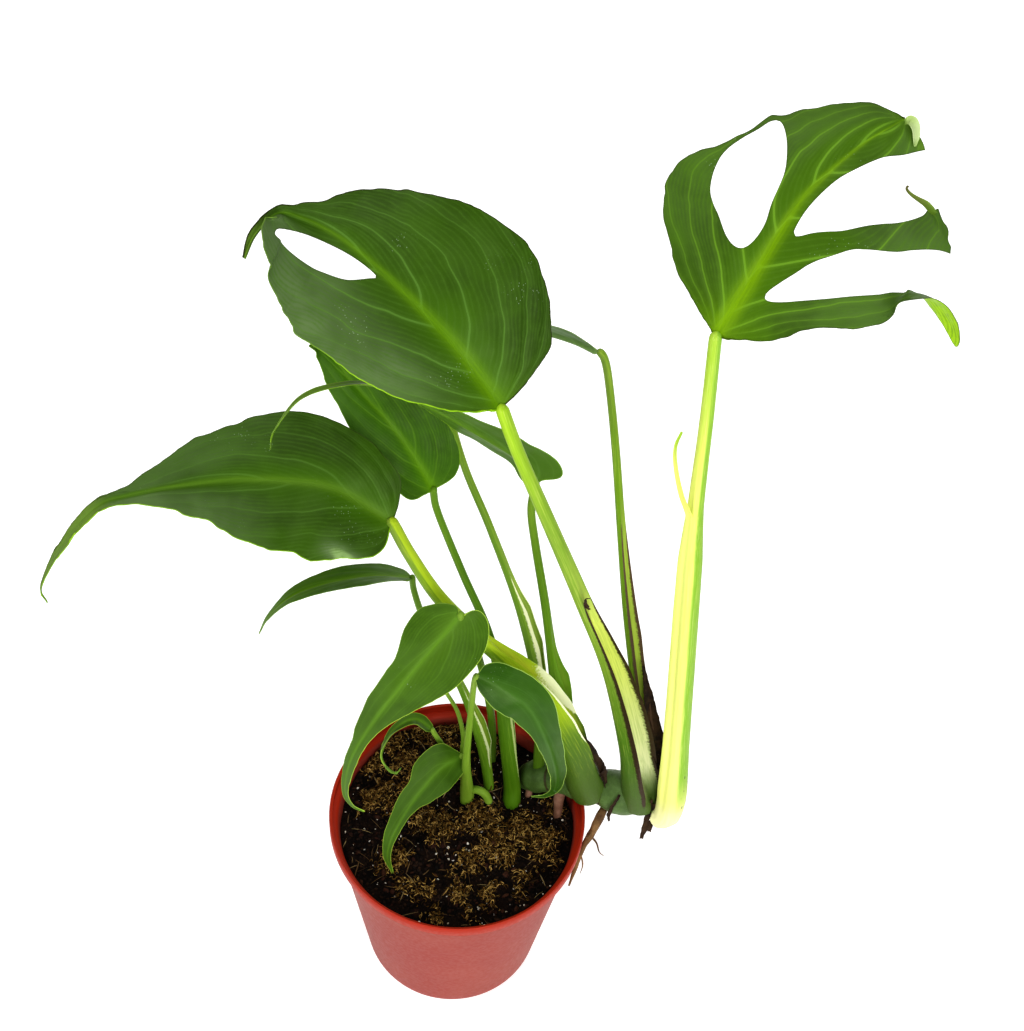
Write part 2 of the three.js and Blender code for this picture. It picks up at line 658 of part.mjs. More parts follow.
// Leaves: rib from stalk to tip, upper-face directions along it, flat outlines left and right of it
const plain = {
  foldLeft: [12, 8, 4, 0],
  foldRight: [12, 8, 4, 0],
  archLeft: [6, 5, 4, 2],
  archRight: [6, 5, 4, 2],
  ripple: 0.8,
  rippleStep: 6,
  halfWidth: 20,
  rows: 15,
  cols: 4,
  fan: 1.6,
};
const leaves = {
  a: {
    ...plain,
    rib: [[9, 50, 440], [-15, 60, 469], [-42, 74, 488], [-69, 88, 502], [-94, 96, 508], [-103, 92, 509],
      [-110, 84, 504], [-114, 78, 495]],
    face: [[0.1, -0.55, 0.83], [0, -0.52, 0.85], [-0.05, -0.5, 0.85], [-0.1, -0.45, 0.85],
      [-0.2, -0.4, 0.8], [-0.5, -0.4, 0.7]],
    bodyEnd: 136,
    left: [[-2, 0], [-12, 8], [-24, 20], [-36, 38], [-42, 54], [-45, 70], [-46, 85], [-48, 94], [-46, 104],
      [-39, 125], [-31, 138], [-22, 144], [-10, 146], [-4, 146], [-2.5, 152], [-2, 160], [-0.6, 169]],
    right: [[2, 0], [15, 2], [26, 5], [36, 10], [46, 23], [54, 38], [57, 52], [56, 64], [52, 77], [43, 92],
      [34, 105], [24, 115], [12, 124], [5, 134], [3, 142], [2.5, 150], [2, 160], [0.6, 169]],
    openings: [[[-15, 139.5], [-12, 139.5], [-10, 137], [-7, 126], [-5, 110], [-3.4, 97], [-3, 88],
      [-3.6, 86], [-6, 88], [-14, 96], [-18, 108], [-19, 120], [-18, 131], [-16, 138]]],
    ends: [[-3.2, 86.3], [-13.5, 139.7]],
    rows: 24,
    cols: 5,
    ripple: 1.2,
    rippleStep: 7,
    halfWidth: 50,
  },
  b: {
    ...plain,
    rib: [[-43, 40, 361], [-74, 44, 379], [-115, 48, 375], [-151, 48, 366], [-179, 42, 361],
      [-193, 38, 356], [-211, 32, 334], [-228, 26, 301], [-227, 25, 287]],
    face: [[0.1, -0.5, 0.86], [0, -0.5, 0.85], [0, -0.5, 0.85], [-0.1, -0.45, 0.85], [-0.5, -0.4, 0.6],
      [-0.8, -0.2, 0.3]],
    left: [[-2, -1], [-14, -3], [-22, 2], [-30, 13], [-36, 22], [-39, 36], [-37, 48], [-36, 63], [-32, 78],
      [-26, 92], [-21, 100], [-17, 110], [-12, 121], [-9, 131], [-5, 142], [-3.5, 155], [-3.5, 175],
      [-3, 195], [-2, 215], [-0.5, 241]],
    right: [[2, -1], [12, 2], [19, 6], [24, 13], [28, 25], [31, 35], [35, 47], [36, 60], [33, 73], [28, 88],
      [22, 108], [11, 130], [4, 146], [3.5, 160], [3.5, 175], [3, 195], [2, 215], [0.5, 241]],
    rows: 21,
    cols: 4,
    ripple: 1.4,
    rippleStep: 6,
    halfWidth: 38,
  },
  c: {
    ...plain,
    rib: [[-24, 72, 351], [-33, 76, 367], [-46, 83, 384], [-62, 90, 399], [-76, 96, 414], [-84, 98, 421],
      [-89, 94, 427]],
    face: [[0.1, -0.6, 0.8], [0, -0.6, 0.8], [0, -0.55, 0.8], [-0.2, -0.5, 0.8]],
    left: [[-2, 0], [-13, 3], [-17, 12], [-19, 28], [-19, 42], [-17, 57], [-14, 68], [-12, 78], [-8, 89],
      [-4, 98], [-0.6, 105]],
    right: [[2, 0], [12, 1], [19, 8], [23, 18], [24, 30], [22, 44], [18, 58], [14, 72], [9, 86], [4, 97],
      [0.6, 105]],
  },
  d: {
    ...plain,
    rib: [[29, 88, 345], [22, 89, 360], [-1, 80, 388], [-26, 68, 418], [-50, 56, 442], [-67, 48, 449],
      [-85, 40, 446], [-97, 33, 430], [-100, 32, 417]],
    face: [[-0.08, 0.8, 0.58], [-0.05, 0.8, 0.58], [0, 0.8, 0.56], [-0.1, 0.5, 0.8], [-0.3, 0.2, 0.9],
      [-0.8, 0, 0.5]],
    left: [[-2, 0], [-9, -4], [-16, 2], [-20, 14], [-21, 28], [-20, 42], [-17, 56], [-14, 70], [-10, 84],
      [-6, 98], [-4, 112], [-3.5, 130], [-3, 150], [-2, 172], [-0.5, 200]],
    right: [[2, 0], [7, -2], [10, 8], [13, 22], [15, 36], [15, 50], [13, 66], [11, 82], [8, 96], [5, 110],
      [4, 130], [3, 150], [2, 172], [0.5, 200]],
    rows: 19,
  },
  e: {
    ...plain,
    rib: [[55, 104, 429], [42, 110, 430], [24, 115, 430], [4, 117, 430], [-13, 114, 431], [-25, 108, 428]],
    face: [[0, 0.8, 0.6], [0, 0.8, 0.6], [0, 0.75, 0.6], [-0.3, 0.6, 0.6]],
    left: [[-2, 0], [-6, 5], [-13, 16], [-18, 28], [-19, 42], [-16, 56], [-9, 70], [-3, 80], [-0.6, 84]],
    right: [[2, 0], [6, 5], [13, 16], [18, 28], [19, 42], [16, 56], [9, 70], [3, 80], [0.6, 84]],
    rows: 12,
    cols: 3,
  },
  f: {
    ...plain,
    rib: [[106, 75, 474], [116, 84, 495], [127, 96, 516], [136, 106, 531], [149, 116, 543], [164, 126, 553],
      [175, 132, 558]],
    face: [[-0.1, -0.6, 0.8], [-0.05, -0.55, 0.85], [0, -0.5, 0.87], [0, -0.5, 0.87]],
    foldLeft: [8, 6, 4, 0],
    foldRight: [8, 6, 4, 0],
    archLeft: [3, 3, 2, 1],
    archRight: [3, 3, 2, 1],
    left: [[-2, 0], [-6, 2], [-14, 6], [-22, 11], [-32, 17], [-38, 23], [-44, 29], [-50, 36], [-55, 44],
      [-57, 50], [-56, 60], [-51, 66], [-45, 70], [-41.5, 75], [-38.5, 80], [-37.5, 85], [-37, 89],
      [-33, 93], [-30, 98], [-26, 105], [-20, 114], [-16, 120], [-11, 125], [-5, 129], [-0.4, 131.5]],
    right: [[2, 0], [8, 3], [18, 9], [27, 17], [33, 24], [42, 31], [51, 36], [59, 43], [69, 53], [80, 63],
      [90, 73], [100, 84], [94, 90], [82, 97], [64, 108], [56, 121], [46, 123], [32, 126], [18, 131],
      [10, 132.5], [0.4, 131.5]],
    openings: [
      [[-41, 68], [-38, 58], [-34, 52], [-28, 48], [-20, 42], [-14, 40], [-10, 42], [-8, 48], [-8, 56],
        [-10, 64], [-12, 72], [-17, 77], [-22, 81], [-27, 85], [-31, 87], [-33.5, 85], [-35, 80],
        [-38, 74]],
      [[10, 26.5], [15, 28], [24, 34], [35, 42], [46, 51], [56, 58], [68, 67], [80, 75], [96, 83.5],
        [112, 92], [80, 122], [63, 109], [56, 101], [48, 88], [38, 76], [28, 61], [20, 52], [16, 44],
        [12, 36], [9.5, 30]],
      [[6, 57.5], [8, 58], [12, 62], [22, 72], [30, 86], [38, 98], [42, 109], [41.5, 116], [43, 126],
        [40, 140], [22, 142], [17, 131], [14, 122], [10, 112], [7, 100], [5, 90], [4.6, 78], [4.6, 68],
        [5, 60]],
    ],
    ends: [[9.7, 27], [6.8, 57.3], [-14, 40], [-32.6, 87]],
    finger: {
      root: [9, 14],
      way: [0.79, 0.61],
      from: 30,
      to: 52,
      edge: 9,
      path: [[119, 75, 484], [138, 72, 492], [157, 71, 498], [176, 71, 503], [186, 70, 513],
        [197, 72, 510], [208, 70, 499], [215, 66, 487]],
      face: [[-0.2, -0.75, 0.62], [-0.2, -0.75, 0.62], [-0.2, -0.72, 0.65], [-0.1, -0.6, 0.78],
        [0.35, 0.55, 0.75], [0.6, 0.65, 0.2], [0.7, 0.6, 0]],
    },
    rows: 32,
    cols: 7,
    fan: 1.1,
    ripple: 0.8,
    rippleStep: 8,
    halfWidth: 50,
    snap: 1.1,
    reach: 131.5,
  },
  g: {
    ...plain,
    rib: [[-33, 52, 300], [-54, 46, 307], [-78, 38, 307], [-96, 31, 302], [-108, 25, 290],
      [-113, 22, 279]],
    face: [[0, 0.5, 0.87], [0, 0.45, 0.87], [-0.1, 0.3, 0.9], [-0.5, 0.1, 0.8]],
    left: [[-2, 0], [-9, 8], [-13, 24], [-12, 40], [-9, 56], [-5, 72], [-2.5, 86], [-0.6, 99]],
    right: [[2, 0], [9, 4], [13, 18], [13, 34], [11, 50], [8, 65], [4, 82], [0.6, 99]],
    rows: 14,
    cols: 3,
  },
  h: {
    ...plain,
    rib: [[-4, 14, 322], [-16, 5, 306], [-32, -8, 286], [-47, -17, 260], [-58, -24, 235], [-62, -28, 207],
      [-58, -30, 194], [-51, -30, 188]],
    face: [[0, -0.55, 0.8], [0, -0.62, 0.75], [-0.1, -0.7, 0.6], [-0.3, -0.8, 0.4], [-0.3, -0.8, 0.4]],
    left: [[-1.5, 0], [-3, -6], [-8, -9], [-15, -6], [-21, 4], [-23, 16], [-23, 27], [-21, 38], [-15, 54],
      [-10, 68], [-6, 82], [-4, 96], [-4, 114], [-2.5, 135], [-0.5, 162]],
    right: [[1.5, 0], [5, -2], [12, 2], [18, 10], [19, 20], [17, 29], [12, 41], [11, 54], [10, 70], [7, 88],
      [4, 102], [3, 122], [2, 140], [0.5, 162]],
    rows: 17,
  },
  i: {
    ...plain,
    rib: [[6, 8, 276], [19, 5, 271], [35, 1, 260], [46, -2, 236], [54, 0, 202], [56, 2, 177], [51, 3, 165],
      [43, 4, 161]],
    face: [[-0.3, -0.6, 0.7], [-0.3, -0.7, 0.6], [0.1, -0.8, 0.5], [0.2, -0.8, 0.3], [0.2, -0.8, 0.1]],
    left: [[-1.5, 0], [-8, 1], [-12, 6], [-15, 15], [-16, 26], [-15, 36], [-11, 51], [-8, 72], [-6, 101],
      [-4, 118], [-2.5, 130], [-0.5, 144]],
    right: [[1.5, 0], [6, 4], [10, 12], [12, 22], [11, 40], [7, 56], [5, 78], [4, 102], [3, 124], [2, 134],
      [0.5, 144]],
    rows: 15,
    cols: 3,
  },
  j: {
    ...plain,
    rib: [[0, 20, 174], [-13, 8, 174], [-26, -9, 166], [-35, -25, 157], [-38, -34, 147], [-35, -39, 138]],
    face: [[0.1, -0.6, 0.75], [0, -0.65, 0.7], [-0.1, -0.7, 0.6], [-0.2, -0.75, 0.5]],
    left: [[-1.5, -0.5], [-4, -1], [-10, 6], [-12, 19], [-10, 30], [-5, 42], [-3, 52], [-2.5, 64], [-2, 76],
      [-0.5, 88]],
    right: [[1.5, -0.5], [5, 2], [9, 5], [13, 9], [14, 15], [13, 24], [9, 32], [9, 41], [7, 52], [5, 64],
      [3, 74], [0.5, 88]],
    rows: 13,
    cols: 3,
  },
  k: {
    ...plain,
    rib: [[-18, 26, 190], [-28, 24, 203], [-38, 19, 201], [-44, 13, 194], [-46, 8, 186], [-42, 4, 180],
      [-37, 3, 177], [-34, 5, 181]],
    face: [[0.2, -0.4, 0.9], [0, -0.2, 0.98], [-0.8, -0.1, 0.5], [-1, -0.1, -0.1], [-0.3, -0.1, -0.9]],
    left: [[-1, 0], [-3, 4], [-4, 12], [-3.5, 22], [-3, 32], [-2, 42], [-0.5, 56]],
    right: [[1, 0], [3, 4], [4, 12], [3.5, 22], [3, 32], [2, 42], [0.5, 56]],
    foldLeft: [20, 20],
    foldRight: [20, 20],
    ripple: 0,
    rows: 12,
    cols: 2,
    fan: 1.1,
  },
  l: {
    ...plain,
    rib: [[-22, 118, 370], [-33, 126, 391], [-44, 133, 409], [-53, 138, 421]],
    face: [[0, -0.5, 0.85], [0, -0.5, 0.85]],
    left: [[-1.5, 0], [-9, 2], [-14, 12], [-15, 26], [-11, 42], [-5, 54], [-0.6, 63]],
    right: [[1.5, 0], [9, 2], [14, 12], [15, 26], [11, 42], [5, 54], [0.6, 63]],
    rows: 10,
    cols: 3,
  },
};

// Pulls the end of a stalk back so that the blade keeps clear of it
function shortened(spec) {
  const end = spec.path[spec.path.length - 1];
  const before = spec.path[spec.path.length - 2];
  const way = unit(sub(end, before));
  return { ...spec, path: [...spec.path.slice(0, -1), sub(end, mul(way, jointGap))] };
}

function largest(solid) {
  const parts = solid.decompose();
  return parts.reduce((a, b) => (b.volume() > a.volume() ? b : a));
}

function blade(leaf) {
  const rib = new Rib(leaf.rib, leaf.face);
  const finger = leaf.finger && { ...leaf.finger, rib: new Rib(leaf.finger.path, leaf.finger.face) };
  const net = flatNet(leaf, leaf.reach ?? rib.length);
  const flat = leaf.openings
    ? trimFlat(net.vertices, net.triangles, leaf.openings, leaf.ends, leaf.snap ?? 1.2)
    : { points: net.vertices, triangles: net.triangles };
  const laid = flat.points.map((p) => {
    const point = layOnRib(leaf, rib, p[0], p[1]);
    return finger ? bendFinger(finger, p[0], p[1], point) : point;
  });
  return thicken(laid, flat.triangles, bladeThickness);
}

function ribbon(spec) {
  const rib = new Rib(spec.rib, spec.face);
  const rows = 9;
  const points = [];
  const triangles = [];
  for (let i = 0; i <= rows; i += 1) {
    const frame = rib.frame((i / rows) * rib.length);
    const half = sampleList(spec.width, i / rows);
    [-half, 0, half].forEach((x) => points.push(add(frame.point, mul(frame.across, x))));
  }
  for (let i = 0; i < rows; i += 1) {
    [3 * i, 3 * i + 1].forEach((a) => triangles.push([a, a + 1, a + 4], [a, a + 4, a + 3]));
  }
  return thicken(points, triangles, bladeThickness);
}

const stemBody = stalk(stem);
const stemRoom = room(stem, stemGap);
const bodies = {};
const rooms = {};
Object.entries(stalks).forEach(([key, spec]) => {
  bodies[key] = stalk(shortened(spec));
  rooms[key] = room(spec, stemGap);
});
['a', 'b', 'f', 'e', 'd', 'l'].forEach((key, n, order) => {
  let body = bodies[key].subtract(stemRoom);
  order.slice(0, n).forEach((other) => {
    body = body.subtract(rooms[other]);
  });
  bodies[key] = largest(body);
});
bodies.f = bodies.f.add(ribbon(sheathTip));
const shoot = shootStalks.map((spec) => stalk(shortened(spec))).reduce((a, b) => a.add(b));
const shootRoom = shootStalks.map((spec) => room(spec, stemGap)).reduce((a, b) => a.add(b));
const anchors = anchorRoots.map((spec) => largest(stalk(spec).subtract(stemRoom)));
const anchorRooms = anchorRoots.map((spec) => room(spec, stemGap));

let soil = soilBody();
[stemRoom, rooms.c, rooms.g, rooms.h, shootRoom, ...anchorRooms].forEach((room) => {
  soil = soil.subtract(room);
});

place('pot', pot, '#b8452c', 0.5);
place('soil', largest(soil), '#2b2018', 0.95);
place('climbing_stem', stemBody, '#4c7030', 0.6);
Object.keys(stalks).forEach((key) => {
  place(`stalk_${key}`, bodies[key], key === 'f' ? paleStalk : stalkGreen, 0.4);
});
place('young_shoot', shoot, stalkGreen, 0.45);
place('hanging_root', largest(stalk(hangingRoot).subtract(stemRoom)), '#7d5a3c', 0.8);
place('anchor_root_1', anchors[0], '#b48a72', 0.8);
place('anchor_root_2', anchors[1], '#b48a72', 0.8);
Object.entries(leaves).forEach(([key, leaf]) => {
  let body = blade(leaf);
  if (key === 'f') {
    leafEnds.forEach((end) => {
      body = body.add(ribbon(end));
    });
  }
  const own = rooms[key] ?? shootRoom;
  body = largest(body.subtract(own));
  place(`leaf_${key}`, body, key === 'i' ? deepGreen : leafGreen, 0.35);
});

export default plant;
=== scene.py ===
import math

import bpy
import numpy as np
from mathutils import Matrix, Vector


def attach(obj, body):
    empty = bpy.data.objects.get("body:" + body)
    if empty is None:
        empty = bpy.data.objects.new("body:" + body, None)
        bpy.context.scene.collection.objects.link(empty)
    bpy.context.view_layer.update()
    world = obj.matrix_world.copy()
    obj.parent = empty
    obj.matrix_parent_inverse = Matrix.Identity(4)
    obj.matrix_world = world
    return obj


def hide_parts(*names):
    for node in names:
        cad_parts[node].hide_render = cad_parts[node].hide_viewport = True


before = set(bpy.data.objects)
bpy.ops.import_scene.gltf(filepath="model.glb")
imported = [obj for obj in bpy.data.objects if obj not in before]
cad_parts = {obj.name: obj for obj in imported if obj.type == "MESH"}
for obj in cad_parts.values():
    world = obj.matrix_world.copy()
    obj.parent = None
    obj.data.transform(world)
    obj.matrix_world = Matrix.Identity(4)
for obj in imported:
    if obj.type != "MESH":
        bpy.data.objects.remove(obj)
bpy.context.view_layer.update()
print("frame loaded:", len(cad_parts), "nodes")

mm = 0.001  # everything below is written in millimetres, as on the plant, and laid into metres at the end
beyond = 1e9  # farther off than anything on the plant
frontFace = [[0.1, -1, 0.1]]

viewSetup = {
    "place": (17.9, -474.2, 987.4),
    "pitch": 50.06,  # degrees below the horizon
    "roll": 4.68,
    "lens": 36 * 1600 / 1031,  # mm on a 36 mm film, for the longer side of 1031 pixels
}


def makeCamera(setup):
    data = bpy.data.cameras.new("camera")
    data.lens = setup["lens"]
    data.sensor_fit = "AUTO"
    data.sensor_width = 36
    data.clip_start, data.clip_end = 0.01, 20
    camera = bpy.data.objects.new("camera", data)
    bpy.context.scene.collection.objects.link(camera)
    tilt = Matrix.Rotation(math.radians(90 - setup["pitch"]), 4, "X")
    roll = Matrix.Rotation(math.radians(setup["roll"]), 4, "Z")
    camera.matrix_world = Matrix.Translation(Vector(setup["place"]) * mm) @ tilt @ roll
    bpy.context.scene.camera = camera


makeCamera(viewSetup)


def unit(v):
    return v / np.maximum(np.linalg.norm(v, axis=-1, keepdims=True), 1e-12)


def smooth(lo, hi, v):  # 0 below lo, 1 above hi, 3k^2 - 2k^3 between
    k = np.clip((v - lo) / (hi - lo), 0, 1)
    return k * k * (3 - 2 * k)


def spread(values, k):  # a short list of numbers or points, read at k from 0 to 1
    values = np.asarray(values, float)
    u = np.clip(k, 0, 1) * (len(values) - 1)
    if values.ndim == 1:
        return np.interp(u, np.arange(len(values)), values)
    return np.stack([np.interp(u, np.arange(len(values)), c) for c in values.T], -1)


# q = 0.5 (2b + (c - a) f + (2a - 5b + 4c - d) f^2 + (3b - a - 3c + d) f^3) between b and c, cut in even steps
def curveThrough(points, count, closed=False):
    p = np.asarray(points, float)
    ends = (p[-1:], p, p[:2]) if closed else (2 * p[:1] - p[1:2], p, 2 * p[-1:] - p[-2:-1])
    p = np.vstack(ends)
    u = np.linspace(0, len(p) - 3, 40 * (len(p) - 3) + 1)
    i = np.minimum(u.astype(int), len(p) - 4)
    f = (u - i)[:, None]
    a, b, c, d = p[i], p[i + 1], p[i + 2], p[i + 3]
    q = 0.5 * (2 * b + (c - a) * f + (2 * a - 5 * b + 4 * c - d) * f**2 + (3 * b - a - 3 * c + d) * f**3)
    s = np.concatenate([[0], np.cumsum(np.linalg.norm(np.diff(q, axis=0), axis=1))])
    t = np.linspace(0, s[-1], count + 1 if closed else count)
    if closed:
        t = t[:-1]
    return np.stack([np.interp(t, s, c) for c in q.T], 1), s[-1]


def ribOf(points, faces, count=300):  # a space curve with a frame: along it, across it, and out of the upper face
    at, length = curveThrough(points, count)
    along = unit(np.gradient(at, axis=0))
    hint = spread(faces, np.linspace(0, 1, count))
    out = unit(hint - (hint * along).sum(1, keepdims=True) * along)
    return {"at": at, "along": along, "out": out, "across": np.cross(along, out), "length": length}


def ribAt(rib, y):  # place, along, out and across at a length y; straight on past the ends
    k = np.clip(y / rib["length"], 0, 1)
    along, out, across = (unit(spread(rib[n], k)) for n in ("along", "out", "across"))
    place = spread(rib["at"], k) + along * (y - k * rib["length"])[..., None]
    return place, along, out, across


# smooth noise: random values on a lattice of 32 steps, blended with 3k^2 - 2k^3; from -1 to 1
def noise(p, size, seed, span=32):
    table = np.random.default_rng(seed).uniform(-1, 1, (span, span, span))
    q = np.asarray(p, float) / size + 100
    i = np.floor(q).astype(int)
    f = q - i
    f = f * f * (3 - 2 * f)
    total = 0
    for corner in range(8):
        o = np.array([corner & 1, corner >> 1 & 1, corner >> 2 & 1])
        w = np.prod(np.where(o, f, 1 - f), axis=-1)
        j = (i + o) % span
        total = total + w * table[j[..., 0], j[..., 1], j[..., 2]]
    return total


def gridFaces(rows, cols, closed=False):  # quads of a grid with rows x cols points, first column joined if closed
    r, c = np.meshgrid(np.arange(rows - 1), np.arange(cols if closed else cols - 1), indexing="ij")
    a, b = r * cols + c, r * cols + (c + 1) % cols
    return np.stack([a, b, b + cols, a + cols], -1).reshape(-1, 4)


def trisOf(quads):
    return np.vstack([quads[:, [0, 1, 2]], quads[:, [0, 2, 3]]])


def edgesOf(tris):
    return np.vstack([tris[:, [0, 1]], tris[:, [1, 2]], tris[:, [2, 0]]])


def capFaces(rows, cols):  # fans that close the first and last ring on two pole points, numbered after the grid
    a = np.arange(cols)
    b, last = (a + 1) % cols, (rows - 1) * cols
    first, end = 0 * a + rows * cols, 0 * a + rows * cols + 1
    return np.vstack([np.stack([a, b, first], 1), np.stack([last + b, last + a, end], 1)])


def copiesOf(tris, count, size):  # the same faces for count bodies of size points each
    return (tris[None] + size * np.arange(count)[:, None, None]).reshape(-1, 3)


def facesOut(points, tris, sample):  # all faces turned round where the sample's volume, sum of p . (q x r), is negative
    p = points[sample]
    p = p - p.mean((0, 1))
    volume = np.einsum("ij,ij->i", p[:, 0], np.cross(p[:, 1], p[:, 2])).sum()
    return tris[:, ::-1] if volume < 0 else tris


def pointNormals(points, tris):  # sum of the normals of the faces round each point, by their area
    n = np.cross(points[tris[:, 1]] - points[tris[:, 0]], points[tris[:, 2]] - points[tris[:, 0]])
    total = np.zeros_like(points)
    for c in range(3):
        np.add.at(total, tris[:, c], n)
    return unit(total)


def segmentDistance(x, y, outline):  # distance to a closed outline, the nearest point on it, and inside or not
    p = np.asarray(outline, float)
    best = np.full(x.shape, beyond)
    near = np.stack([x, y], -1)
    inside = np.zeros(x.shape, bool)
    for a, b in zip(p, np.roll(p, -1, axis=0)):
        d = b - a
        k = np.clip(((x - a[0]) * d[0] + (y - a[1]) * d[1]) / max(d @ d, 1e-12), 0, 1)
        cx, cy = a[0] + k * d[0], a[1] + k * d[1]
        far = np.hypot(x - cx, y - cy)
        closer = far < best
        best = np.where(closer, far, best)
        near[closer] = np.stack([cx, cy], -1)[closer]
        crosses = (a[1] > y) != (b[1] > y)
        inside ^= crosses & (x < a[0] + (y - a[1]) / (d[1] if d[1] else 1e-12) * d[0])
    return best, near, inside


# what lies outside the openings: d is the distance to the nearest one, negative inside; an edge whose
# ends differ in sign gets a point where d crosses zero, and each triangle keeps its part with d >= 0
def trimSheet(columns, tris, openings, snap):
    d = np.full(len(columns), beyond)
    columns = columns.copy()
    for outline in openings:
        far, near, inside = segmentDistance(columns[:, 0], columns[:, 1], outline)
        far = np.where(inside, -far, far)
        close = (np.abs(far) < snap) & (np.abs(far) < np.abs(d))
        columns[close, :2] = near[close]
        far[close] = 0
        d = np.where(np.abs(far) < np.abs(d), far, d)
    low = d[tris] < 0
    whole = tris[~low.any(1)]
    centre = columns[whole][:, :, :2].mean(1)
    flat = (d[whole] == 0).all(1)
    for outline in openings:
        hole = segmentDistance(centre[:, 0], centre[:, 1], outline)[2] & flat
        whole, centre, flat = whole[~hole], centre[~hole], flat[~hole]
    cut = tris[low.any(1) & ~low.all(1)]
    edges = np.sort(edgesOf(cut), axis=1)
    edges = np.unique(edges[d[edges[:, 0]] * d[edges[:, 1]] < 0], axis=0)
    k = (d[edges[:, 0]] / (d[edges[:, 0]] - d[edges[:, 1]]))[:, None]
    fresh = columns[edges[:, 0]] * (1 - k) + columns[edges[:, 1]] * k
    number = {tuple(e): len(columns) + n for n, e in enumerate(edges.tolist())}
    kept = [whole]
    parts = []
    for t in cut.tolist():  # only the few triangles on the rims
        ring = []
        for n in range(3):
            i, j = t[n], t[(n + 1) % 3]
            if d[i] >= 0:
                ring.append(i)
            if d[i] * d[j] < 0:
                ring.append(number[(min(i, j), max(i, j))])
        parts += [(ring[0], ring[n - 1], ring[n]) for n in range(2, len(ring))]
    if parts:
        kept.append(np.array(parts))
    columns, tris = np.vstack([columns, fresh]), np.vstack(kept)
    used, back = np.unique(tris, return_inverse=True)
    return columns[used], back.reshape(-1, 3)


# closed body from a sheet: lower points = upper points - normal * depth, and a wall along each free edge
def closeSheet(points, tris, depth):
    lower = points - pointNormals(points, tris) * np.broadcast_to(depth, (len(points),))[:, None]
    n = len(points)
    edges = edgesOf(tris)
    _, first, count = np.unique(np.sort(edges, axis=1), axis=0, return_index=True, return_counts=True)
    free = edges[first[count == 1]]
    wall = np.vstack([
        np.stack([free[:, 1], free[:, 0], free[:, 0] + n], 1),
        np.stack([free[:, 1], free[:, 0] + n, free[:, 1] + n], 1),
    ])
    faces = np.vstack([tris, tris[:, ::-1] + n, wall])
    side = np.concatenate([np.zeros(len(tris)), np.ones(len(tris)), np.zeros(len(wall))]).astype(int)
    return np.vstack([points, lower]), faces, side


pieceCount = {"pieces": 0, "faces": 0}


# faceMaterial is each face's number in materials, crease the angle in degrees past which an edge stays sharp
def makePiece(name, points, faces, materials, standsFor=(), attributes=None, faceMaterial=None, crease=50):
    mesh = bpy.data.meshes.new(name)
    mesh.from_pydata(np.asarray(points, float) * mm, [], [list(f) for f in np.asarray(faces).tolist()])
    mesh.validate()
    mesh.polygons.foreach_set("use_smooth", np.ones(len(mesh.polygons), bool))
    if faceMaterial is not None:
        mesh.polygons.foreach_set("material_index", np.asarray(faceMaterial, np.int32))
    for label, values in (attributes or {}).items():
        attribute = mesh.attributes.new(label, "FLOAT", "POINT")
        attribute.data.foreach_set("value", np.asarray(values, np.float32))
    for material in materials:
        mesh.materials.append(material)
    if crease:
        mesh.set_sharp_from_angle(angle=math.radians(crease))
    mesh.update()
    piece = bpy.data.objects.new(name, mesh)
    bpy.context.scene.collection.objects.link(piece)
    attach(piece, "root")
    if standsFor:
        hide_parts(*standsFor)
    pieceCount["pieces"] += 1
    pieceCount["faces"] += len(mesh.polygons)
    return piece


def colour(code):  # "#rrggbb" as seen on screen, turned into linear light
    parts = [int(code[i:i + 2], 16) / 255 for i in (1, 3, 5)]
    return [p / 12.92 if p <= 0.04045 else ((p + 0.055) / 1.055) ** 2.4 for p in parts] + [1.0]


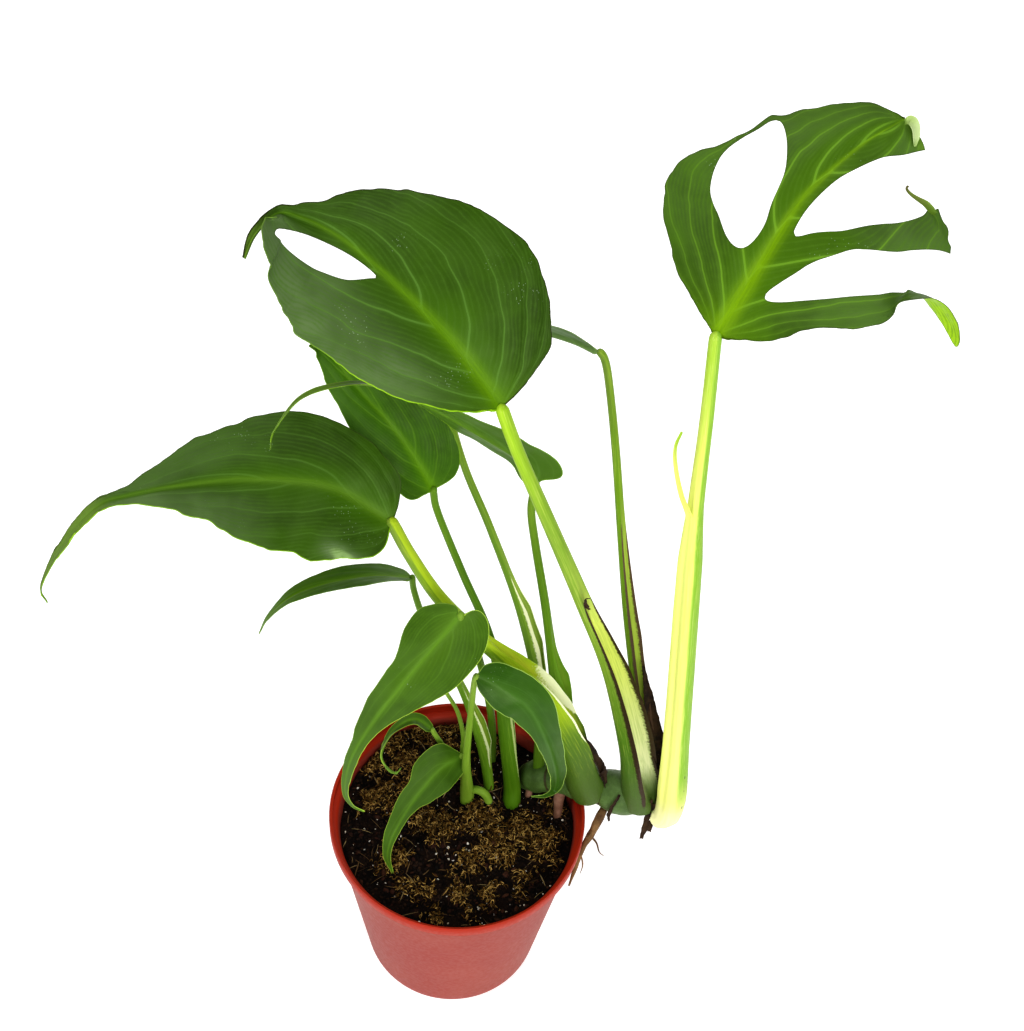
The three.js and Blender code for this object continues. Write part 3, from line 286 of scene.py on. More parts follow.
class Shader:  # one material's node tree, with short calls for what is used here
    def __init__(self, name):
        self.material = bpy.data.materials.new(name)
        self.material.use_nodes = True
        self.tree = self.material.node_tree
        self.skin = self.tree.nodes["Principled BSDF"]

    def add(self, kind, sockets=None, out=0, **settings):
        made = self.tree.nodes.new(kind)
        for key, value in settings.items():
            setattr(made, key, value)
        for key, value in (sockets or {}).items():
            self.feed(made.inputs[key], value)
        return made.outputs[out]

    def feed(self, socket, value):
        if isinstance(value, bpy.types.NodeSocket):
            self.tree.links.new(value, socket)
        else:
            socket.default_value = value

    def set(self, **values):  # sockets of the skin, with _ for a space
        for key, value in values.items():
            self.feed(self.skin.inputs[key.replace("_", " ")], value)

    def read(self, label):
        return self.add("ShaderNodeAttribute", out="Fac", attribute_name=label)

    def place(self):
        return self.add("ShaderNodeTexCoord", out="Object")

    def math(self, operation, a, b=0.0):
        return self.add("ShaderNodeMath", {0: a, 1: b}, operation=operation)

    def times(self, a, b):
        return self.math("MULTIPLY", a, b)

    def step(self, value, lo, hi, low=0.0, high=1.0):
        sockets = {0: value, 1: lo, 2: hi, 3: low, 4: high}
        return self.add("ShaderNodeMapRange", sockets, interpolation_type="SMOOTHSTEP")

    def blend(self, factor, a, b):  # a and b are sockets, or colours as "#rrggbb"
        a, b = (colour(c) if isinstance(c, str) else c for c in (a, b))
        return self.add("ShaderNodeMix", {0: factor, 6: a, 7: b}, out=2, data_type="RGBA")

    def cloud(self, scale, detail=3.0, rough=0.5, where=None):
        sockets = {"Vector": where or self.place(), "Scale": scale, "Detail": detail, "Roughness": rough}
        return self.add("ShaderNodeTexNoise", sockets)

    def dots(self, scale, where):  # distance to the nearest of many scattered points
        sockets = {"Vector": where, "Scale": scale, "Randomness": 1.0}
        return self.add("ShaderNodeTexVoronoi", sockets, out="Distance")

    def join(self, x, y, z=0.0):
        return self.add("ShaderNodeCombineXYZ", {0: x, 1: y, 2: z})

    def bump(self, height, strength, distance):
        return self.add("ShaderNodeBump", {"Height": height, "Strength": strength, "Distance": distance})

    def line(self, coordinate, gap, width, soft):  # 1 on whole numbers of coordinate, width and soft in mm
        off = self.math("ABSOLUTE", self.math("SUBTRACT", self.math("FRACT", self.math("ADD", coordinate, 0.5)), 0.5))
        return self.step(self.times(off, gap), width, self.math("ADD", width, soft), 1.0, 0.0)


# Each blade is a flat shape, x across and y along in mm, laid on a rib in space. Row v runs from the rib at
# length * v^fan to the outline at v, along x = (2t(1-t) 0.55 + t^2) xe,
# y = (1-t)^2 r + 2t(1-t)(r + (ye - r)/4) + t^2 ye
plainLeaf = {
    "fold": [12, 8, 4, 0],  # degrees up from the rib, from the foot to the tip
    "arch": [6, 5, 4, 2],  # bend back down, thousandths of a radian per mm
    "ripple": 0.8, "rippleStep": 6, "halfWidth": 20,  # wave of the margin
    "right": None,  # left mirrored
    "fan": 1.6, "bodyEnd": beyond, "reach": None, "rows": 96, "cols": 18, "openings": [], "depth": 0.5,
    "veins": 7, "lean": 0.5, "wander": 0.07, "pleat": 0.25, "seed": 1, "ragged": 0.3,
    "ribWide": 2.4, "ribRidge": 1.5, "ribFade": 0.8, "strap": 0.95,  # strap is where the tip's tail takes its grey-green tint, partly its own colour and partly a painted sheen
    "rimLeft": 0.5, "rimRight": 0.5, "rimHole": -0.4, "rimEnd": 1.1,  # pale margin above 0, dark one below
    "paintedSheenLeft": 0.1, "paintedSheenRight": 0.1, "paintedSheenFrom": (0.05, 0.35), "paintedHighlights": [],  # painted sheen, a dull grey-green cast on each half, and spots of painted highlight
    "paint": "mature", "slot": "leaf_skin",
}


def leafEdge(leaf, side, count):  # the outline, moved in and out by small noise away from its ends
    p = curveThrough(leaf[side] or [[-x, y] for x, y in leaf["left"]], count)[0]
    t = np.linspace(0, 1, count)
    where = np.stack([p[:, 0], p[:, 1], 0 * t + 7 * leaf["seed"]], 1)
    push = (noise(where, 7, 61) + 0.5 * noise(where, 2.6, 62)) * smooth(0, 0.06, t) * smooth(1, 0.85, t)
    push = push * leaf["ragged"]
    way = np.gradient(p, axis=0)
    out = unit(np.stack([way[:, 1], -way[:, 0]], 1))
    return p + out * push[:, None]


def leafNet(leaf, length):  # x, y, row v from 0 to 1 and span t from -1 to 1 of each point of the flat shape
    rows, cols = leaf["rows"], leaf["cols"]
    v = np.linspace(0, 1, rows + 1)[:, None]
    t = np.append(np.linspace(0, 0.955, cols - 2), [0.975, 0.99, 1.0])
    t = np.concatenate([-t[:0:-1], t])[None, :]
    a = np.abs(t)
    left, right = (leafEdge(leaf, side, rows + 1) for side in ("left", "right"))
    edge = np.where((t < 0)[..., None], left[:, None, :], right[:, None, :])
    root = length * v ** leaf["fan"]
    x = (2 * a * (1 - a) * 0.55 + a * a) * edge[..., 0]
    y = (1 - a) ** 2 * root + 2 * a * (1 - a) * (root + 0.25 * (edge[..., 1] - root)) + a * a * edge[..., 1]
    return x, y, v + 0 * a, t + 0 * v


# vein number w: whole on each main vein; rises with the row and falls outwards, so that veins sweep to the tip
def veinNumber(leaf, v, t):
    a = np.abs(t)
    q = (v - leaf["lean"] * a**1.25 + leaf["lean"]) / (1 + leaf["lean"])
    w = q * leaf["veins"] + 0.5 + np.where(t < 0, 0.35, 0.0)
    random = np.random.default_rng(leaf["seed"])
    for cycles, strength in ((1.3, 1.0), (2.9, 0.6), (6.1, 0.35)):
        turn = random.uniform(0, 2 * np.pi, 2)
        phase = np.where(t < 0, turn[0], turn[1])
        w = w + leaf["wander"] * strength * a**0.7 * np.sin(2 * np.pi * (cycles * a + 3.1 * q) + phase)
    return w


def leafColumns(leaf, length):  # per point: x, y, row, span, vein number, mm between veins
    x, y, v, t = leafNet(leaf, length)
    w = veinNumber(leaf, v, t)
    xr, xt = np.gradient(x)
    yr, yt = np.gradient(y)
    wr, wt = np.gradient(w)
    area = xr * yt - xt * yr
    area = np.where(np.abs(area) < 1e-4, 1e-4, area)
    slope = np.hypot((wr * yt - wt * yr) / area, (wt * xr - wr * xt) / area)
    gap = np.clip(1 / np.maximum(slope, 1e-3), 0.2, 30)
    return np.stack([x, y, v, t, w, gap], -1).reshape(-1, 6)


# height above the rib plane and reach across: fold - arch * a turns along the way out, summed as a circle's arc
def layOnRib(leaf, rib, x, y):
    narrow = np.clip((8 - np.abs(x)) / 4, 0, 1)
    past = np.maximum(0, y - leaf["bodyEnd"]) * (1 - narrow)
    place, along, out, across = ribAt(rib, y - past)
    side = np.where(x < 0, -1.0, 1.0)
    k = np.clip(y / rib["length"], 0, 1)
    fold = np.radians(spread(leaf["fold"], k))
    arch = np.maximum(spread(leaf["arch"], k) / 1000, 1e-5)
    a = np.abs(x)
    turn = fold - arch * a
    reach = (np.sin(fold) - np.sin(turn)) / arch
    wave = leaf["ripple"] * smooth(0.35, 1, a / leaf["halfWidth"]) * np.sin(y / leaf["rippleStep"] + side * 0.8)
    lift = (np.cos(turn) - np.cos(fold)) / arch + wave
    return place + along * past[..., None] + across * (side * reach)[..., None] + out * lift[..., None]


# a finger of the split leaf follows a rib of its own: place - across * v at u along it, blended in past its root
def bendFinger(finger, x, y, points):
    dx, dy = x - finger["root"][0], y - finger["root"][1]
    wayX, wayY = finger["way"]
    u, v = dx * wayX + dy * wayY, dy * wayX - dx * wayY
    share = smooth(finger["from"], finger["to"], u) * (1 - smooth(finger["edge"], finger["edge"] + 6, v))
    rib = ribOf(finger["path"], finger["face"])
    place, _, _, across = ribAt(rib, u)
    return points + (place - across * v[..., None] - points) * share[..., None]


# The blade's upper face swells between the veins by pleat * |sin(pi w)| and sinks along the rib; the sheet is
# closed below at depth plus a ridge under the rib, which is a half ellipse across
def leafBody(leaf):
    rib = ribOf(leaf["rib"], leaf["face"])
    reach = leaf["reach"] or rib["length"]
    columns = leafColumns(leaf, reach)
    tris = trisOf(gridFaces(leaf["rows"] + 1, 2 * leaf["cols"] + 1))
    openings = [curveThrough(o, 120, closed=True)[0] for o in leaf["openings"]]
    if openings:
        columns, tris = trimSheet(columns, tris, openings, 0.25)
    x, y, v, t, w, gap = columns.T
    points = layOnRib(leaf, rib, x, y)
    if "finger" in leaf:
        points = bendFinger(leaf["finger"], x, y, points)
    outline = np.vstack([leafEdge(leaf, "left", 200), leafEdge(leaf, "right", 200)[::-1]])
    edge = segmentDistance(x, y, outline)[0]
    rim = np.where(x < 0, leaf["rimLeft"], leaf["rimRight"])
    for outline in openings:
        far = segmentDistance(x, y, outline)[0]
        rim = np.where(far < edge, leaf["rimHole"], rim)
        edge = np.minimum(edge, far)
    a, k = np.abs(t), np.clip(y / reach, 0, 1)
    rim = np.where(rim > 0, rim * (1 - 0.75 * smooth(leaf["rimEnd"], leaf["rimEnd"] + 0.2, k)), rim)
    half = leaf["ribWide"] * (1 - k) ** 1.5 + 0.45
    pale = np.exp(-(x / half) ** 2) * (1 - leaf["ribFade"] * k**1.5)
    pale = np.maximum(pale, 0.9 * np.exp(-np.hypot(x, y) / (1.6 * leaf["ribWide"])))
    swell = np.abs(np.sin(np.pi * w)) * smooth(0, 6, edge) * smooth(0.04, 0.3, a) * np.clip(gap / 8, 0, 1)
    fine = 0.12 * leaf["pleat"] * np.sin(2 * np.pi * w * 4) * smooth(0.05, 0.3, a)
    push = leaf["pleat"] * (swell - 0.5) + fine - 0.15 * leaf["ribRidge"] * pale
    points = points + pointNormals(points, tris) * push[:, None]
    ridge = leaf["ribRidge"] * (1 - 0.85 * k) * smooth(0, 0.03, k)
    ridge = ridge * np.sqrt(np.clip(1 - (x / (1.2 * half)) ** 2, 0, 1))
    points, faces, side = closeSheet(points, tris, leaf["depth"] * (0.5 + 0.5 * smooth(0, 2, edge)) + ridge)
    # painted sheen: a grey-green cast on each half, plus painted highlight spots that push it past 1
    paintedSheen = np.where(x < 0, leaf["paintedSheenLeft"], leaf["paintedSheenRight"])
    paintedSheen = paintedSheen * smooth(0.15, 0.6, a) * smooth(*leaf["paintedSheenFrom"], k)
    for px, py, wide, high, strength in leaf["paintedHighlights"]:
        paintedSheen = paintedSheen + strength * np.exp(-((x - px) / wide) ** 2 - ((y - py) / high) ** 2)
    strap = smooth(leaf["strap"], leaf["strap"] + 0.1, k)
    values = {"pale": pale, "flatX": x, "flatY": y, "vein": w, "gap": gap, "span": a, "edge": edge, "along": k,
              "rim": rim, "strap": strap, "paintedSheen": paintedSheen}
    return points, faces, side, {n: np.concatenate([c, c]) for n, c in values.items()}


leaves = {
    "a": {
        **plainLeaf, "rows": 150, "cols": 34, "veins": 8, "ribWide": 4.4, "ribRidge": 2.4, "pleat": 0.5,
        "rimLeft": 1, "rimRight": -0.9, "rimEnd": 0.35, "wander": 0.1, "strap": 0.84, "ragged": 0.75,
        "paintedSheenLeft": 0.85, "paintedSheenRight": 0.05, "bodyEnd": 136, "ripple": 1.2, "rippleStep": 7, "halfWidth": 50,
        "fold": [12, 10, 7, 5, 3, 30, 60],
        "rib": [[9, 50, 440], [-15, 60, 469], [-42, 74, 488], [-69, 88, 502], [-94, 96, 508], [-103, 92, 509],
            [-110, 84, 504], [-114, 78, 495]],
        "face": [[0.1, -0.55, 0.83], [0, -0.52, 0.85], [-0.05, -0.5, 0.85], [-0.1, -0.45, 0.85], [-0.2, -0.4, 0.8],
            [-0.5, -0.4, 0.7]],
        "left": [[-2, 0], [-12, 8], [-24, 20], [-36, 38], [-42, 54], [-45, 70], [-46, 85], [-48, 94], [-46, 104],
            [-39, 125], [-31, 138], [-22, 144], [-10, 146], [-4, 146], [-2.5, 152], [-2, 160], [-0.6, 169]],
        "right": [[2, 0], [15, 2], [26, 5], [36, 10], [46, 23], [54, 38], [57, 52], [56, 64], [52, 77], [43, 92],
            [34, 105], [24, 115], [12, 124], [5, 134], [3, 142], [2.5, 150], [2, 160], [0.6, 169]],
        "openings": [[[-15, 139.5], [-12, 139.5], [-10, 137], [-7, 126], [-5, 110], [-3.4, 97], [-3, 88],
            [-3.6, 86], [-6, 88], [-14, 96], [-18, 108], [-19, 120], [-18, 131], [-16, 138]]],
    },
    "b": {
        **plainLeaf, "rows": 150, "cols": 26, "veins": 7, "ribWide": 2.6, "ribRidge": 2.2, "pleat": 0.45,
        "rimLeft": 0.8, "rimRight": -0.5, "seed": 2, "strap": 0.6, "ribFade": 1, "ragged": 0.7, "paintedSheenLeft": 0.75,
        "paintedSheenRight": 0.4, "paintedSheenFrom": (0.2, 0.45), "paintedHighlights": [(-29, 12, 4.5, 13, 2.3)], "paint": "calm",
        "ripple": 1.4, "rippleStep": 6, "halfWidth": 38,
        "rib": [[-43, 40, 361], [-74, 44, 379], [-115, 48, 375], [-151, 48, 366], [-179, 42, 361], [-193, 38, 356],
            [-211, 32, 334], [-228, 26, 301], [-227, 25, 287]],
        "face": [[0.1, -0.5, 0.86], [0, -0.5, 0.85], [0, -0.5, 0.85], [-0.1, -0.45, 0.85], [-0.5, -0.4, 0.6],
            [-0.8, -0.2, 0.3]],
        "left": [[-2, -1], [-14, -3], [-22, 2], [-30, 13], [-36, 22], [-39, 36], [-37, 48], [-36, 63], [-32, 78],
            [-26, 92], [-21, 100], [-17, 110], [-12, 121], [-9, 131], [-5, 142], [-3.5, 155], [-3.5, 175],
            [-3, 195], [-2, 215], [-0.5, 241]],
        "right": [[2, -1], [12, 2], [19, 6], [24, 13], [28, 25], [31, 35], [35, 47], [36, 60], [33, 73], [28, 88],
            [22, 108], [11, 130], [4, 146], [3.5, 160], [3.5, 175], [3, 195], [2, 215], [0.5, 241]],
    },
    "c": {
        **plainLeaf, "rows": 100, "cols": 20, "veins": 6, "ribWide": 2.4, "pleat": 0.35, "seed": 3,
        "paint": "fresh",
        "rib": [[-24, 72, 351], [-33, 76, 367], [-46, 83, 384], [-62, 90, 399], [-76, 96, 414], [-84, 98, 421],
            [-89, 94, 427]],
        "face": [[0.1, -0.6, 0.8], [0, -0.6, 0.8], [0, -0.55, 0.8], [-0.2, -0.5, 0.8]],
        "left": [[-2, 0], [-13, 3], [-17, 12], [-19, 28], [-19, 42], [-17, 57], [-14, 68], [-12, 78], [-8, 89],
            [-4, 98], [-0.6, 105]],
        "right": [[2, 0], [12, 1], [19, 8], [23, 18], [24, 30], [22, 44], [18, 58], [14, 72], [9, 86], [4, 97],
            [0.6, 105]],
    },
    "d": {
        **plainLeaf, "rows": 130, "cols": 16, "veins": 6, "ribWide": 2.2, "seed": 4, "rimLeft": 0.35,
        "rimRight": 0.5, "strap": 0.5,
        "rib": [[29, 88, 345], [22, 89, 360], [-1, 80, 388], [-26, 68, 418], [-50, 56, 442], [-67, 48, 449],
            [-85, 40, 446], [-97, 33, 430], [-100, 32, 417]],
        "face": [[-0.08, 0.8, 0.58], [-0.05, 0.8, 0.58], [0, 0.8, 0.56], [-0.1, 0.5, 0.8], [-0.3, 0.2, 0.9],
            [-0.8, 0, 0.5]],
        "left": [[-2, 0], [-6, 1], [-11, 0], [-15.5, 1.5], [-16.5, 8], [-16, 18], [-16, 30], [-15.5, 42],
            [-13.5, 56], [-11, 70], [-9, 84], [-6, 98], [-4, 112], [-3.5, 130], [-3, 150], [-2, 172], [-0.5, 200]],
        "right": [[2, 0], [7, -2], [10, 8], [13, 22], [15, 36], [15, 50], [13, 66], [11, 82], [8, 96], [5, 110],
            [4, 130], [3, 150], [2, 172], [0.5, 200]],
    },
    "e": {
        **plainLeaf, "rows": 80, "cols": 16, "veins": 6, "seed": 5, "paint": "shade",
        "rib": [[55, 104, 429], [42, 110, 430], [24, 115, 430], [4, 117, 430], [-13, 114, 431], [-25, 108, 428]],
        "face": [[0, 0.8, 0.6], [0, 0.8, 0.6], [0, 0.75, 0.6], [-0.3, 0.6, 0.6]],
        "left": [[-2, 0], [-6, 5], [-13, 16], [-18, 28], [-19, 42], [-16, 56], [-9, 70], [-3, 80], [-0.6, 84]],
    },
    "f": {
        **plainLeaf, "rows": 180, "cols": 44, "veins": 9, "ribWide": 5, "ribRidge": 2.4, "pleat": 0.45,
        "wander": 0.05, "lean": 0.75, "seed": 6, "rimLeft": -0.5, "rimRight": -0.5, "ribFade": 0.6,
        "paint": "split", "ragged": 0.5, "paintedSheenLeft": 0.2, "paintedSheenRight": 0.35, "fan": 1.1, "ripple": 0.8,
        "rippleStep": 8, "halfWidth": 50, "reach": 131.5, "fold": [8, 6, 4, 0], "arch": [3, 3, 2, 1],
        "rib": [[106, 75, 474], [116, 84, 495], [127, 96, 516], [136, 106, 531], [149, 116, 543], [164, 126, 553],
            [175, 132, 558]],
        "face": [[-0.1, -0.6, 0.8], [-0.05, -0.55, 0.85], [0, -0.5, 0.87], [0, -0.5, 0.87]],
        "left": [[-2, 0], [-6, 2], [-14, 6], [-22, 11], [-32, 17], [-38, 23], [-44, 29], [-50, 36], [-55, 44],
            [-57, 50], [-56, 60], [-51, 66], [-45, 70], [-41.5, 75], [-38.5, 80], [-37.5, 85], [-37, 89], [-33, 93],
            [-30, 98], [-26, 105], [-20, 114], [-16, 120], [-11, 125], [-5, 129], [-0.4, 131.5]],
        "right": [[2, 0], [8, 3], [18, 9], [27, 17], [33, 24], [42, 31], [51, 36], [59, 43], [69, 53], [81, 61.5],
            [92, 71], [101, 84], [94, 90], [82, 97], [64, 108], [56, 121], [46, 123], [32, 126], [18, 131],
            [10, 132.5], [0.4, 131.5]],
        "openings": [
            [[-41, 68], [-38, 58], [-34, 52], [-28, 48], [-20, 42], [-14, 40], [-10, 42], [-8, 48], [-8, 56],
                [-10, 64], [-12, 72], [-15, 78], [-21, 84], [-27, 88], [-32, 89.5], [-35, 87], [-36.5, 81],
                [-39, 75]],
            [[10, 26.5], [15, 28], [24, 34], [35, 42], [46, 51], [56, 58], [68, 67], [78, 75.5], [90, 82.5],
                [98, 86], [112, 92], [80, 122], [63, 109], [56, 101], [48, 88], [38, 76], [28, 61], [20, 52],
                [16, 44], [12, 36], [9.5, 30]],
            [[6, 57.5], [8, 58], [12, 62], [22, 72], [30, 86], [38, 98], [42, 109], [41.5, 116], [43, 126],
                [40, 140], [22, 142], [17, 131], [14, 122], [10, 112], [7, 100], [5, 90], [4.6, 78], [4.6, 68],
                [5, 60]],
        ],
        "finger": {
            "root": [9, 14], "way": [0.79, 0.61], "from": 30, "to": 52, "edge": 9,
            "path": [[119, 75, 484], [138, 72, 492], [157, 71, 498], [176, 71, 503], [186, 70, 513], [197, 72, 510],
                [208, 70, 499], [215, 66, 487]],
            "face": [[-0.2, -0.75, 0.62], [-0.2, -0.75, 0.62], [-0.2, -0.75, 0.62], [-0.2, -0.72, 0.65],
                [-0.2, -0.72, 0.65], [-0.1, -0.6, 0.78], [0.2, 0.1, 0.95], [0.35, 0.6, 0.7], [0.5, 0.7, 0.4],
                [0.6, 0.7, 0.2], [0.7, 0.6, 0]],
        },
    },
    "g": {
        **plainLeaf, "rows": 90, "cols": 14, "veins": 5, "ribWide": 1.6, "seed": 7, "paint": "lit", "rimLeft": 0.2,
        "rimRight": 0.2,
        "rib": [[-33, 52, 300], [-54, 46, 307], [-78, 38, 307], [-96, 31, 302], [-108, 25, 290], [-113, 22, 279]],
        "face": [[0, 0.5, 0.87], [0, 0.45, 0.87], [-0.1, 0.3, 0.9], [-0.5, 0.1, 0.8]],
        "left": [[-2, 0], [-9, 8], [-13, 24], [-12, 40], [-9, 56], [-5, 72], [-2.5, 86], [-0.6, 99]],
        "right": [[2, 0], [9, 4], [13, 18], [13, 34], [11, 50], [8, 65], [4, 82], [0.6, 99]],
    },
    "h": {
        **plainLeaf, "rows": 120, "cols": 18, "veins": 5, "pleat": 0.15, "ribWide": 1.2, "seed": 8,
        "paint": "young", "slot": "young_leaf_skin", "rimLeft": 0.9, "rimRight": 0.3,
        "rib": [[-4, 14, 322], [-16, 5, 306], [-32, -8, 286], [-47, -17, 260], [-58, -24, 235], [-62, -28, 207],
            [-58, -30, 194], [-51, -30, 188]],
        "face": [[0, -0.55, 0.8], [0, -0.62, 0.75], [-0.1, -0.7, 0.6], [-0.3, -0.8, 0.4], [-0.3, -0.8, 0.4]],
        "left": [[-1.5, 0], [-3, -6], [-8, -9], [-15, -6], [-21, 4], [-23, 16], [-23, 27], [-21, 38], [-15, 54],
            [-10, 68], [-6, 82], [-4, 96], [-4, 114], [-2.5, 135], [-0.5, 162]],
        "right": [[1.5, 0], [5, -2], [12, 2], [18, 10], [19, 20], [17, 29], [12, 41], [11, 54], [10, 70], [7, 88],
            [4, 102], [3, 122], [2, 140], [0.5, 162]],
    },
    "i": {
        **plainLeaf, "rows": 110, "cols": 14, "veins": 5, "pleat": 0.12, "ribWide": 0.9, "seed": 9, "paint": "wet",
        "rimLeft": 1, "rimRight": 1,
        "rib": [[6, 8, 276], [19, 5, 271], [35, 1, 260], [46, -2, 236], [54, 0, 202], [56, 2, 177], [51, 3, 165],
            [43, 4, 161]],
        "face": [[-0.3, -0.6, 0.7], [-0.3, -0.7, 0.6], [0.1, -0.8, 0.5], [0.2, -0.8, 0.3], [0.2, -0.8, 0.1]],
        "left": [[-1.5, 0], [-8, 1], [-12, 6], [-15, 15], [-16, 26], [-15, 36], [-11, 51], [-8, 72], [-6, 101],
            [-4, 118], [-2.5, 130], [-0.5, 144]],
        "right": [[1.5, 0], [6, 4], [10, 12], [12, 22], [11, 40], [7, 56], [5, 78], [4, 102], [3, 124], [2, 134],
            [0.5, 144]],
    },
    "j": {
        **plainLeaf, "rows": 90, "cols": 14, "veins": 5, "pleat": 0.12, "ribWide": 1, "seed": 10, "paint": "young",
        "slot": "young_leaf_skin", "rimLeft": 0.6, "rimRight": 0.6,
        "rib": [[0, 20, 174], [-13, 8, 174], [-26, -9, 166], [-35, -25, 157], [-38, -34, 147], [-35, -39, 138]],
        "face": [[0.1, -0.6, 0.75], [0, -0.65, 0.7], [-0.1, -0.7, 0.6], [-0.2, -0.75, 0.5]],
        "left": [[-1.5, -0.5], [-4, -1], [-10, 6], [-12, 19], [-10, 30], [-5, 42], [-3, 52], [-2.5, 64], [-2, 76],
            [-0.5, 88]],
        "right": [[1.5, -0.5], [5, 2], [9, 5], [13, 9], [14, 15], [13, 24], [9, 32], [9, 41], [7, 52], [5, 64],
            [3, 74], [0.5, 88]],
    },
    "k": {
        **plainLeaf, "rows": 80, "cols": 8, "veins": 4, "pleat": 0.05, "ribWide": 0.8, "ribRidge": 0.8, "seed": 11,
        "paint": "young", "slot": "young_leaf_skin", "ripple": 0, "fan": 1.1, "fold": [20, 20],
        "rib": [[-18, 26, 190], [-28, 24, 203], [-38, 19, 201], [-44, 13, 194], [-46, 8, 186], [-42, 4, 180],
            [-37, 3, 177], [-34, 5, 181]],
        "face": [[0.2, -0.4, 0.9], [0, -0.2, 0.98], [-0.8, -0.1, 0.5], [-1, -0.1, -0.1], [-0.3, -0.1, -0.9]],
        "left": [[-1, 0], [-3, 4], [-4, 12], [-3.5, 22], [-3, 32], [-2, 42], [-0.5, 56]],
    },
    "l": {
        **plainLeaf, "rows": 70, "cols": 14, "veins": 5, "seed": 12, "paint": "fresh", "face": [[0, -0.5, 0.85]],
        "rib": [[-22, 118, 370], [-33, 126, 391], [-44, 133, 409], [-53, 138, 421]],
        "left": [[-1.5, 0], [-9, 2], [-14, 12], [-15, 26], [-11, 42], [-5, 54], [-0.6, 63]],
    },
}

stem = {
    "path": [[45, 38, 104], [42, 36, 124], [43, 31, 139], [52, 25, 150], [68, 20, 156.5], [86, 16, 158],
        [104, 12, 155], [114, 9, 153]],
    "radius": [5, 5.5, 6.5, 8.5, 9.6, 9, 9, 10, 11.5, 12.3, 10, 6],
    "face": [[0, 0.3, 1]],
    "rings": [(0.37, 0.08, 0.03), (0.47, -0.05, 0.02), (0.6, 0.13, 0.05), (0.72, -0.09, 0.03), (0.86, 0.12, 0.06)],
    "scars": [0.33, 0.47, 0.725, 0.74],  # rings: place along, swelling and width, as shares
}

